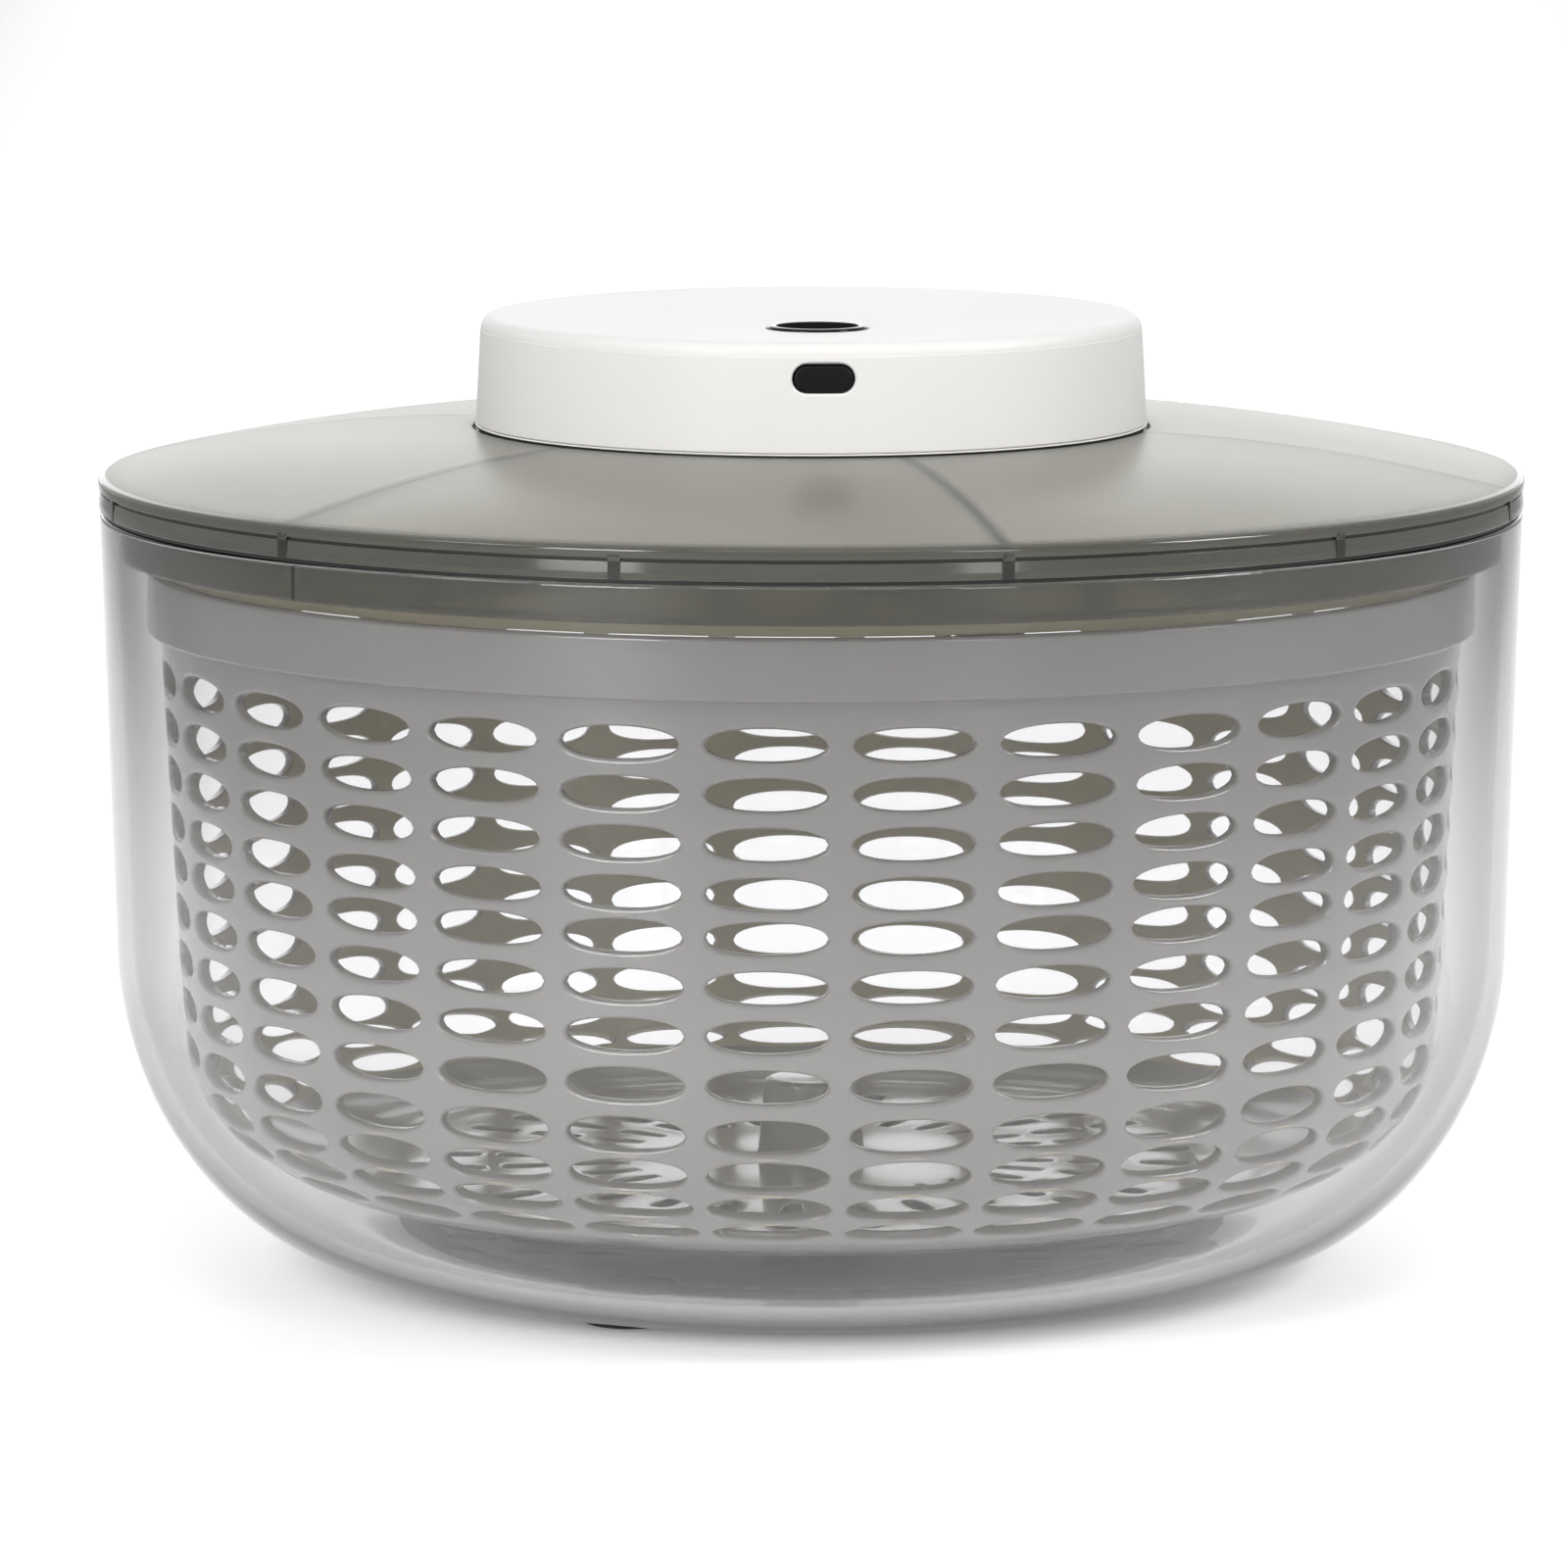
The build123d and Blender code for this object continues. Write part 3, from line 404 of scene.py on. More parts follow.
# Painted shade of the ribs, seen through the dome.
painted_rib_shade(frosted, (0.42, 0.42, 0.42), RIBS, RIB_TURN, 0.0004, 0.0021)
smoke = surface("smoke_gloss", (0.50, 0.485, 0.40), 0.10, IOR=1.52, Transmission_Weight=1.0, **SMOKE)
# Painted shade: a darker copy of the lid's smoke for the rim wall, with darker bars painted over its twelve
# posts.
smoke_rim_shade = surface("smoke_rim_shade", (0.27, 0.262, 0.23), 0.12, IOR=1.52, Transmission_Weight=0.75, **SMOKE)
painted_rib_shade(smoke_rim_shade, (0.3, 0.3, 0.3), RIM_RIBS, RIM_RIB_TURN, 0.0009, 0.0013)
smoke_dark = surface("smoke_dark", (0.165, 0.155, 0.10), 0.10, IOR=1.52, Transmission_Weight=0.5, **SMOKE)
# Painted shade: the darkest copy of the lid's smoke, for the brim band.
smoke_brim_shade = surface("smoke_brim_shade", (0.12, 0.116, 0.098), 0.09, IOR=1.52, Transmission_Weight=0.4, **SMOKE)
# Painted shade: near-black smoke for the rim groove, the seat round the motor unit and the ribs under the
# dome.
smoke_painted_shade = surface("smoke_painted_shade", (0.03, 0.03, 0.027), 0.25, **SMOKE)
basket_grey = surface(
    "basket_grey", (0.43, 0.415, 0.39), 0.22, 0.03, 0.03, grain=1800.0, Coat_Weight=0.8, Coat_Roughness=0.07
)
# Painted light: a lighter, warmer copy of the basket's grey for its inner face.
basket_inner_lit = surface("basket_inner_lit", (0.66, 0.61, 0.46), 0.26, 0.03, 0.03, grain=1800.0)
white = surface("unit_white", (0.86, 0.85, 0.834), 0.44, 0.04, 0.012, grain=2600.0, depth=0.008)
button_face = surface("button_face", (0.012, 0.012, 0.013), 0.30, 0.03, 0.2, depth=0, Specular_IOR_Level=0.0)
button_edge = surface("button_edge", (0.012, 0.012, 0.013), 0.06, 0.02, 0.2, depth=0, Specular_IOR_Level=0.2)
plug_black = surface(
    "plug_black", (0.006, 0.006, 0.007), 0.48, 0.05, 0.2, grain=5000.0, depth=0.02, Specular_IOR_Level=0.2
)
rubber = surface(
    "foot_rubber", (0.032, 0.029, 0.038), 0.55, 0.05, 0.15, grain=2600.0, depth=0.03, Specular_IOR_Level=0.2
)
seal_black = surface("seal_black", (0.01, 0.01, 0.011), 0.5, 0.05, 0.2, grain=2600.0, depth=0.02)
carrier_tan = surface("carrier_tan", (0.46, 0.41, 0.27), 0.38, 0.05, 0.04, grain=1800.0, depth=0.015)
acetal = surface("acetal", (0.74, 0.73, 0.69), 0.34, 0.05, 0.03, grain=2200.0, depth=0.01)
steel = surface("steel", (0.56, 0.56, 0.57), 0.24, 0.06, 0.05, grain=1500.0, depth=0.01, Metallic=1.0)
motor_metal = surface(
    "motor_metal", (0.48, 0.48, 0.49), 0.32, 0.08, 0.08, grain=900.0, depth=0.015, Metallic=1.0
)
brass = surface("brass", (0.72, 0.53, 0.24), 0.26, 0.06, 0.06, grain=1500.0, depth=0.01, Metallic=1.0)
cell_wrap = surface("cell_wrap", (0.05, 0.16, 0.34), 0.30, 0.06, 0.05, grain=500.0, depth=0.03)
board_green = surface(
    "board_green", (0.02, 0.11, 0.05), 0.40, 0.08, 0.20, cloud=260.0, grain=1600.0, depth=0.03
)
switch_dark = surface("switch_dark", (0.03, 0.03, 0.032), 0.42, 0.05, 0.15, grain=2600.0, depth=0.02)

node_looks = {
    "pivot_pin": steel,
    "thrust_cap": acetal,
    "lid_bush": acetal,
    "drive_hub": acetal,
    "hub_clip": steel,
    "drive_carrier": carrier_tan,
    "gearbox_plate": steel,
    "idler_pin": steel,
    "idler_gear": acetal,
    "output_gear": acetal,
    "output_shaft": steel,
    "drive_coupler": acetal,
    "lower_bush": brass,
    "upper_bush": brass,
    "motor_can": motor_metal,
    "motor_rotor": motor_metal,
    "motor_pinion": brass,
    "battery_cells": cell_wrap,
    "cell_cradle": switch_dark,
    "circuit_board": board_green,
    "button_switch": switch_dark,
    "charge_socket": steel,
    "housing_screws": steel,
    "plate_screws": steel,
    "board_screws": steel,
}
for node, look in node_looks.items():
    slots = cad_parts[node].data.materials
    slots.clear()
    slots.append(look)

# ------------------------------------------------------------------ bowl and feet
groove = RING_WIDTH / 2 - 0.05
bowl_run = BOWL_CORNER_R - BOWL_FLAT_R
outer_bend = bend(BOWL_FLAT_R, BOWL_CORNER_Z, bowl_run, BOWL_CORNER_Z - BOWL_BASE_Z, 44)
inner_bend = bend(BOWL_FLAT_R, BOWL_CORNER_Z, bowl_run - BOWL_WALL, BOWL_CORNER_Z - BOWL_FLOOR_Z, 44)
outer_wall = [
    (BOWL_CORNER_R + (BOWL_RIM_R - BOWL_CORNER_R) * t, BOWL_CORNER_Z + (BOWL_RIM_Z - BOWL_CORNER_Z) * t)
    for t in (0.2, 0.4, 0.6, 0.8)
]
bowl_profile = rounded(
    [(0, BOWL_BASE_Z), (40, BOWL_BASE_Z), (FOOT_CIRCLE - groove, BOWL_BASE_Z)]
    + [(FOOT_CIRCLE - groove, RING_TOP_Z - 0.05), (FOOT_CIRCLE + groove, RING_TOP_Z - 0.05)]
    + [(FOOT_CIRCLE + groove, BOWL_BASE_Z + 0.01)]
    + outer_bend[2:]
    + outer_wall
    + [(BOWL_RIM_R, BOWL_RIM_Z, 0.8), (BOWL_RIM_R - BOWL_WALL, BOWL_RIM_Z, 0.8)]
    + [(r - BOWL_WALL, z) for r, z in reversed(outer_wall)]
    + inner_bend[::-1]
    + [(40, BOWL_FLOOR_Z), (BOSS_R + 1.2, BOWL_FLOOR_Z, 1.0), (BOSS_R, BOSS_TOP_Z, 0.6)]
    + [(PIN_R, BOSS_TOP_Z), (PIN_R, PIN_BASE_Z), (0, PIN_BASE_Z)],
    closed=False,
)
bowl = raw_object("bowl_clear", lathe(bowl_profile, closed=False))
feet_angles = [FOOT_TURN + 90 * k for k in range(4)]
feet_places = [
    (FOOT_CIRCLE * math.cos(math.radians(a)), FOOT_CIRCLE * math.sin(math.radians(a))) for a in feet_angles
]
pocket = [(0, -2), (FOOT_R - 0.05, -2), (FOOT_R - 0.05, FOOT_TOP_Z - 0.05), (0, FOOT_TOP_Z - 0.05)]
merge(bowl, gather(*[lathe(pocket, 72, False, centre=p) for p in feet_places]), "DIFFERENCE")
piece(bowl, "bowl", [clear], ["bowl"])

ring_profile = rounded(
    [
        (FOOT_CIRCLE - RING_WIDTH / 2, BOWL_BASE_Z, 0.4),
        (FOOT_CIRCLE + RING_WIDTH / 2, BOWL_BASE_Z, 0.4),
        (FOOT_CIRCLE + RING_WIDTH / 2, RING_TOP_Z),
        (FOOT_CIRCLE - RING_WIDTH / 2, RING_TOP_Z),
    ]
)
pad_profile = [(0, 0), (PAD_FLAT_R, 0)]
pad_profile += bend(PAD_FLAT_R, PAD_BEND, FOOT_R - PAD_FLAT_R, PAD_BEND, 8)[1:]
pad_profile += [(FOOT_R, FOOT_TOP_Z), (0, FOOT_TOP_Z)]
feet = raw_object("foot_ring_rubber", lathe(ring_profile, 192))
merge(feet, gather(*[lathe(pad_profile, 72, False, centre=p) for p in feet_places]), "UNION")
piece(feet, "bowl", [rubber], ["foot_ring"])


# ------------------------------------------------------------------ basket
def basket_outline():
    """Arc length, radius, height and outward normal down the basket's outer face."""
    floor = [(r, BASKET_BASE_Z) for r in np.linspace(5, BASKET_FLAT_R, 60)]
    corner = bend(
        BASKET_FLAT_R,
        BASKET_CORNER_Z,
        BASKET_CORNER_R - BASKET_FLAT_R,
        BASKET_CORNER_Z - BASKET_BASE_Z,
        160,
    )
    wall = [
        (
            BASKET_CORNER_R + (BASKET_TOP_R - BASKET_CORNER_R) * t,
            BASKET_CORNER_Z + (BAND_Z - BASKET_CORNER_Z) * t,
        )
        for t in np.linspace(0, 1, 80)
    ]
    path = np.array(floor + corner[1:] + wall[1:])
    steps = np.linalg.norm(np.diff(path, axis=0), axis=1)
    length = np.concatenate(([0.0], np.cumsum(steps))) + path[0, 0]
    slope = np.gradient(path, length, axis=0)
    slope /= np.linalg.norm(slope, axis=1)[:, None]
    return length, path[:, 0], path[:, 1], slope[:, 1], -slope[:, 0]


LENGTH, PATH_R, PATH_Z, NORMAL_R, NORMAL_Z = basket_outline()
ACROSS, UPRIGHT = 12, 6
HALF_COLUMN = math.pi / COLUMNS


def on_basket(angle, length, depth):
    """Points on the basket, depth below its outer face."""
    radius = np.interp(length, LENGTH, PATH_R) - depth * np.interp(length, LENGTH, NORMAL_R)
    height = np.interp(length, LENGTH, PATH_Z) - depth * np.interp(length, LENGTH, NORMAL_Z)
    return np.stack([radius * np.cos(angle), radius * np.sin(angle), height], axis=-1)


def length_at(radius, height):
    """Arc length of the outline's point nearest to a place."""
    return float(LENGTH[np.argmin((PATH_R - radius) ** 2 + (PATH_Z - height) ** 2)])


def cell_border():
    """Points round a unit cell, anticlockwise from its lower left corner."""
    along = np.linspace(-1, 1, ACROSS + 1)[:-1]
    up = np.linspace(-1, 1, UPRIGHT + 1)[:-1]
    sides = [(x, -1) for x in along] + [(1, y) for y in up]
    sides += [(-x, 1) for x in along] + [(-1, -y) for y in up]
    return np.array(sides)


def cell(row, angle):
    """One hole of the basket with its rounded edges, as rings from the outer face to the inner one."""
    border = cell_border()
    phase = np.arctan2(border[:, 1], border[:, 0])
    power = 2.0 / row["shape"]
    edge_x = np.sign(np.cos(phase)) * np.abs(np.cos(phase)) ** power
    edge_y = np.sign(np.sin(phase)) * np.abs(np.sin(phase)) ** power
    middle_r = float(np.interp(row["length"], LENGTH, PATH_R))
    border_angle = border[:, 0] * HALF_COLUMN
    border_length = row["low"] + (row["high"] - row["low"]) * (border[:, 1] + 1) / 2

    def around_hole(grow):
        ring_angle = edge_x * (row["half_width"] + grow) / middle_r
        return ring_angle, row["length"] + edge_y * (row["half_height"] + grow)

    def border_ring(share, grow, depth):
        ring_angle, ring_length = around_hole(grow)
        return (
            border_angle * (1 - share) + ring_angle * share,
            border_length * (1 - share) + ring_length * share,
            depth,
        )

    outer, inner = row["rounding"], 0.45
    rings = [(border_angle, border_length, 0.0), border_ring(0.5, outer + 0.25, 0.0)]
    rings.append((*around_hole(outer + 0.25), 0.0))
    for a in np.radians((0, 22.5, 45, 67.5, 90)):
        rings.append((*around_hole(outer * (1 - math.sin(a))), outer * (1 - math.cos(a))))
    for a in np.radians((0, 45, 90)):
        rings.append((*around_hole(inner * (1 - math.cos(a))), BASKET_WALL - inner * (1 - math.sin(a))))
    rings.append(border_ring(0.5, inner + 0.2, BASKET_WALL))
    rings.append((border_angle, border_length, BASKET_WALL))
    points = np.concatenate([on_basket(angle + a, s, d) for a, s, d in rings])
    count = len(border)
    faces = []
    for k in range(len(rings) - 1):
        for i in range(count):
            n = (i + 1) % count
            faces.append((k * count + i, k * count + n, (k + 1) * count + n, (k + 1) * count + i))
    return points, faces


rows = []
for k in range(WALL_ROWS):
    height = TOP_ROW_Z - ROW_PITCH * k
    share = (height - BASKET_CORNER_Z) / (BAND_Z - BASKET_CORNER_Z)
    radius = BASKET_CORNER_R + share * (BASKET_TOP_R - BASKET_CORNER_R)
    rows.append({"length": length_at(radius, height)})
for tilt in CORNER_TILTS:
    run = (BASKET_CORNER_R - BASKET_FLAT_R) * math.cos(math.radians(tilt))
    fall = (BASKET_CORNER_Z - BASKET_BASE_Z) * math.sin(math.radians(tilt))
    reach = math.hypot(run, fall)
    rows.append(
        {
            "length": length_at(
                BASKET_FLAT_R + (BASKET_CORNER_R - BASKET_FLAT_R) * run / reach,
                BASKET_CORNER_Z - (BASKET_CORNER_Z - BASKET_BASE_Z) * fall / reach,
            )
        }
    )
for k, row in enumerate(rows):
    row["high"] = (rows[k - 1]["length"] + row["length"]) / 2 if k else row["length"] + ROW_PITCH / 2
    following = rows[k + 1]["length"] if k + 1 < len(rows) else row["length"] - ROW_PITCH
    row["low"] = (following + row["length"]) / 2
    cell_half = float(np.interp(row["length"], LENGTH, PATH_R)) * HALF_COLUMN
    row["half_width"] = min(HOLE_HALF_WIDTH, cell_half - 1.3)
    row["half_height"] = HOLE_HALF_HEIGHT
    row["shape"] = 2.15
    row["rounding"] = 0.75
for circle, half_width in FLOOR_SLOTS:
    rows.append(
        {
            "length": circle,
            "high": circle + 6.5,
            "low": circle - 6.5,
            "half_width": half_width,
            "half_height": 4.75,
            "shape": 3.2,
            "rounding": 0.5,
        }
    )

turned = COLUMN_TURN - math.degrees(HALF_COLUMN)
strip_segments = COLUMNS * ACROSS


def basket_point(length, depth):
    """Radius and height of one point of the basket."""
    x, _, z = on_basket(0.0, length, depth)
    return float(x), float(z)


top_length = rows[0]["high"]
band = rounded(
    [
        basket_point(top_length, 0),
        basket_point(top_length + 2.0, 0),
        (BASKET_TOP_R, BAND_Z, 0.5),
        (BASKET_RIM_R, BAND_Z, 0.7),
        (BASKET_RIM_R, BASKET_RIM_Z, 0.8),
        (BASKET_RIM_R - BASKET_WALL, BASKET_RIM_Z, 0.8),
        (BASKET_RIM_R - BASKET_WALL, STEP_Z, 0.4),
        (BASKET_TOP_R - BASKET_WALL - 0.1, STEP_Z, 0.6),
        basket_point(top_length + 2.0, BASKET_WALL),
        basket_point(top_length, BASKET_WALL),
    ],
    closed=False,
)
corner_low = rows[len(rows) - len(FLOOR_SLOTS) - 1]["low"]
floor_high = rows[len(rows) - len(FLOOR_SLOTS)]["high"]
floor_low = rows[-1]["low"]
between = np.linspace(floor_high, corner_low, 9)
hub = rounded(
    [
        basket_point(floor_low, 0),
        (HUB_R + 4, BASKET_BASE_Z),
        (HUB_R, BASKET_BASE_Z, 0.8),
        (HUB_R, HUB_BASE_Z, 0.5),
        (CAP_R, HUB_BASE_Z, 0.3),
        (CAP_R, HUB_TOP_Z - 3),
        (0, HUB_TOP_Z - 3),
    ],
    closed=False,
)
hub_top = rounded(
    [
        (0, HUB_TOP_Z),
        (HUB_R - 0.5, HUB_TOP_Z, 1.2),
        (HUB_R + 1, BASKET_BASE_Z + BASKET_WALL, 2.0),
        basket_point(floor_low, BASKET_WALL),
    ],
    closed=False,
)
basket_parts = [
    cell(row, math.radians(COLUMN_TURN) + 2 * HALF_COLUMN * column)
    for row in rows
    for column in range(COLUMNS)
]
for path in (
    band,
    [basket_point(s, 0) for s in between],
    [basket_point(s, BASKET_WALL) for s in between],
    hub,
    hub_top,
):
    basket_parts.append(lathe(path, strip_segments, closed=False, turn=turned))
basket = raw_object("basket_perforated", gather(*basket_parts), weld=2e-6)
lugs = []
for turn in (RIB_TURN, RIB_TURN + 120, RIB_TURN + 240):
    middle = math.radians(turn)
    aside = np.array((-math.sin(middle), math.cos(middle), 0.0))
    points, faces = block(turn, LUG_NEAR_R, LUG_FAR_R, LUG_WIDTH, LUG_TOP_Z, STEP_Z - 0.3, 0.3)
    lugs += [(np.array(points) + side * LUG_OFFSET * aside, faces) for side in (-1, 1)]
merge(basket, gather(*lugs), "UNION")


def basket_paint(centre, normal):
    """Painted light: a lighter, warmer grey on the inner face of the wall, standing in for light through the
    smoked lid.
    """
    radius = math.hypot(centre[0], centre[1])
    inward = normal.x * centre[0] + normal.y * centre[1] < -0.5 * radius
    return 1 if inward and BASKET_CORNER_R - 25 < radius < BASKET_TOP_R else 0


piece(basket, "basket", [basket_grey, basket_inner_lit], ["basket"], basket_paint, sharp=50.0)


# ------------------------------------------------------------------ lid
def dome_z(radius):
    """Height of the lid's outer face."""
    share = max(0.0, (radius - CREST_R) / (BRIM_R - CREST_R))
    return CREST_Z - (CREST_Z - BRIM_Z) * share**1.85


def rib_base(radius):
    """Lower edge of the ribs under the dome."""
    return dome_z(radius) - LID_WALL - RIB_DEPTH


def rib_top(radius):
    """Upper edge of the ribs, a little way into the dome's wall."""
    return dome_z(radius) - LID_WALL + 0.4


dome_top = [(r, dome_z(r)) for r in np.linspace(DOME_NEAR_R, DOME_FAR_R, 30)]
dome_under = [(r, dome_z(r) - LID_WALL) for r in np.linspace(DOME_UNDER_R, SEAT_R + 2, 28)]
cover_profile = rounded(
    [(BUSH_R, WELL_Z - LID_WALL), (BUSH_R, WELL_Z), (WELL_R, WELL_Z, 0.8), (WELL_R, SEAT_Z, 0.5)]
    + [(SEAT_R, SEAT_Z, 0.2), (SEAT_R, CREST_Z, 0.5)]
    + dome_top
    + [(BRIM_R - 0.35, dome_z(BRIM_R - 0.35) - 0.05), (LID_R, BRIM_Z - 0.35, 0.9)]
    + [(LID_R, GROOVE_Z + 0.3, 0.1), (LID_R - GROOVE_DEPTH, GROOVE_Z + 0.25)]
    + [(LID_R - GROOVE_DEPTH, GROOVE_Z - 0.25), (LID_R - 0.3, GROOVE_Z - 0.35, 0.1)]
    + [(LID_R - 0.1, RIM_BASE_Z + 1.2, 1.5), (LID_R - 0.1, RIM_BASE_Z, 0.2)]
    + [(LID_R - RIM_WALL, RIM_BASE_Z, 0.2), (LID_R - RIM_WALL, RIM_TOP_Z, 0.25)]
    + dome_under
    + [(SEAT_R + 1.5, SEAT_Z - LID_WALL, 0.3), (WELL_R + LID_WALL, SEAT_Z - LID_WALL, 0.6)]
    + [(WELL_R + LID_WALL, WELL_Z - LID_WALL, 0.8)]
)
cover = raw_object("lid_cover_smoke", lathe(cover_profile))
ribs = [
    block(RIB_TURN + 360 / RIBS * k, RIB_NEAR_R, RIB_FAR_R, RIB_WIDTH, rib_base, rib_top, 0.3)
    for k in range(RIBS)
]
rim_turns = [RIM_RIB_TURN + 360 / RIM_RIBS * k for k in range(RIM_RIBS)]
posts = [
    block(turn, LID_R - 1.0, LID_R, POST_WIDTH, RIM_BASE_Z + 0.15, GROOVE_Z + 0.9, 0.15) for turn in rim_turns
]
merge(cover, gather(*ribs, *posts), "UNION")

cover_looks = [frosted, smoke, smoke_painted_shade, smoke_rim_shade, smoke_brim_shade]
ON_DOME, ON_GLOSS, ON_DARK, ON_RIM, ON_BRIM = range(len(cover_looks))


def cover_paint(centre, normal):
    """Matt on the dome's top, near-black painted shade on ribs, rim groove and seat, darker smoke as painted
    shade on the brim and rim wall, gloss elsewhere.
    """
    radius = math.hypot(centre[0], centre[1])
    height = centre[2]
    # Painted shade in the rim groove.
    if abs(height - GROOVE_Z) < 0.34 and LID_R - GROOVE_DEPTH - 0.05 < radius < LID_R - 0.15:
        return ON_DARK
    # Painted shade in the seat under the motor unit's edge.
    if WELL_R + 0.5 < radius < SEAT_R + 0.05 and height > SEAT_Z - 0.1:
        return ON_DARK
    if SEAT_R < radius < BRIM_R - 0.4 and normal.z > 0.5 and height > BRIM_Z - 0.3:
        return ON_DOME
    # Painted shade on the brim band.
    if radius > BRIM_R - 0.2 and height > GROOVE_Z + 0.2:
        return ON_BRIM
    # Painted shade on the rim wall below the groove.
    if radius > LID_R - 1.2 and height < GROOVE_Z:
        return ON_RIM
    # Ribs painted near-black as their shade seen through the dome.
    on_rib = RIB_NEAR_R - 0.5 < radius < RIB_FAR_R + 0.2 and height < dome_z(radius) - LID_WALL - 0.25
    return ON_DARK if on_rib else ON_GLOSS


piece(cover, "lid", cover_looks, ["lid_cover"], cover_paint)

inner_rim_r = LID_R - RIM_WALL - 0.1
skirt_profile = rounded(
    [
        (SKIRT_R - SKIRT_WALL, SKIRT_BASE_Z, 0.6),
        (SKIRT_R, SKIRT_BASE_Z, 0.6),
        (SKIRT_R, RIM_BASE_Z, 0.2),
        (inner_rim_r, RIM_BASE_Z, 0.2),
        (inner_rim_r, RIM_BASE_Z + FLANGE_THICK, 0.2),
        (SKIRT_R, RIM_BASE_Z + FLANGE_THICK, 0.2),
        (SKIRT_R, SKIRT_TOP_Z, 0.2),
        (SKIRT_R - SKIRT_WALL, SKIRT_TOP_Z, 0.2),
    ],
    steps=4,
)
skirt = raw_object("lid_skirt_smoke", lathe(skirt_profile))
rim_ribs = [
    block(turn, SKIRT_R - 0.5, inner_rim_r, RIM_RIB_WIDTH, RIM_BASE_Z + 0.4, RIM_RIB_TOP_Z, 0.2)
    for turn in rim_turns
]
merge(skirt, gather(*rim_ribs), "UNION")
vent = block(VENT_TURN, SKIRT_R - 5, SKIRT_R + 1.5, VENT_WIDTH, SKIRT_BASE_Z - 1, RIM_BASE_Z - 0.6)
merge(skirt, vent, "DIFFERENCE")
piece(skirt, "lid", [smoke_dark], ["lid_skirt"])

seal_profile = rounded(
    [
        (SEAL_NEAR_R, SEAL_BASE_Z, 0.2),
        (SEAL_FAR_R, SEAL_BASE_Z, 0.2),
        (SEAL_FAR_R, RIM_BASE_Z, 0.2),
        (SEAL_NEAR_R, RIM_BASE_Z, 0.2),
    ],
    steps=3,
)
seal = raw_object("lid_seal_ring", lathe(seal_profile))
piece(seal, "lid", [seal_black], ["lid_seal"])


# ------------------------------------------------------------------ motor unit
def in_unit(x, y, z):
    """Place in the motor unit's own turned axes."""
    turn = math.radians(UNIT_TURN)
    return (x * math.cos(turn) - y * math.sin(turn), x * math.sin(turn) + y * math.cos(turn), z)


def stadium(width, height, steps=16):
    """Outline of an oblong with round ends."""
    radius = height / 2
    straight = width / 2 - radius
    angles = np.linspace(-math.pi / 2, math.pi / 2, steps)
    right = [(straight + radius * math.cos(a), radius * math.sin(a)) for a in angles]
    return right + [(-x, -y) for x, y in right]


def port_body(levels):
    """Oblong body on the charging port's axis through (width, height, distance out) levels."""
    return loft([[in_unit(x, -out, PORT_Z + y) for x, y in stadium(w, h)] for w, h, out in levels])


side_slope = (UNIT_TOP_R - UNIT_R + 0.1) / (UNIT_TOP_Z - UNIT_SIDE_Z)


def side_r(z):
    """Radius of the housing's side."""
    return UNIT_R - 0.1 + side_slope * (z - UNIT_SIDE_Z)


housing_profile = rounded(
    [
        (0, UNIT_CEILING_Z),
        (UNIT_TOP_R - 2.4, UNIT_CEILING_Z, 1.5),
        (UNIT_R - 2.5, UNIT_SIDE_Z),
        (UNIT_R - 0.1, UNIT_SIDE_Z, 0.25),
        (side_r(160), 160),
        (side_r(166), 166),
        (side_r(UNIT_LINE_Z - 0.05), UNIT_LINE_Z - 0.05, 0.06),
        (side_r(UNIT_LINE_Z) - UNIT_LINE_DEPTH, UNIT_LINE_Z),
        (UNIT_TOP_R - 0.12, UNIT_TOP_Z, 2.3),
        (40, UNIT_TOP_Z),
        (0, UNIT_TOP_Z),
    ],
    closed=False,
    steps=7,
)
housing = raw_object("unit_housing_white", lathe(housing_profile, closed=False))
button_x, button_y, _ = in_unit(0, -BUTTON_OFFSET, 0)
pocket_r = BUTTON_R + BUTTON_GAP
edge_z = UNIT_TOP_Z - POCKET_EDGE
pocket_profile = [(0, POCKET_FLOOR_Z), (pocket_r, POCKET_FLOOR_Z), (pocket_r, edge_z)]
pocket_profile += bend(pocket_r + POCKET_EDGE, edge_z, POCKET_EDGE, POCKET_EDGE, 5, 180, 90)
pocket_profile += [(pocket_r + POCKET_EDGE, 176), (0, 176)]
merge(housing, lathe(pocket_profile, 96, False, centre=(button_x, button_y)), "DIFFERENCE")
# The port's mouth, as how much wider it is and how far out.
mouth = ((0, 50), (0, PORT_FACE - 0.55), (0.06, PORT_FACE - 0.3))
mouth += ((0.2, PORT_FACE - 0.1), (0.45, PORT_FACE + 0.1), (0.45, 70))
flare = [(PORT_WIDTH + 2 * wider, PORT_HEIGHT + 2 * wider, out) for wider, out in mouth]
merge(housing, port_body(flare), "DIFFERENCE")
piece(housing, "motor_unit", [white], ["unit_housing"])

base_profile = rounded(
    [
        (5.0, DRUM_BASE_Z),
        (DRUM_R, DRUM_BASE_Z, 1.0),
        (DRUM_R, UNIT_BASE_Z, 0.5),
        (UNIT_R - 0.6, UNIT_BASE_Z),
        (UNIT_R - 0.6, RECESS_Z),
        (UNIT_R, RECESS_Z, 0.1),
        (UNIT_R, UNIT_BASE_Z + 1.3, 0.25),
        (DRUM_R - 2, UNIT_BASE_Z + 1.3, 0.5),
        (DRUM_R - 2, DRUM_BASE_Z + 2, 0.8),
        (5.0, DRUM_BASE_Z + 2),
    ]
)
unit_base = raw_object("unit_base_white", lathe(base_profile))


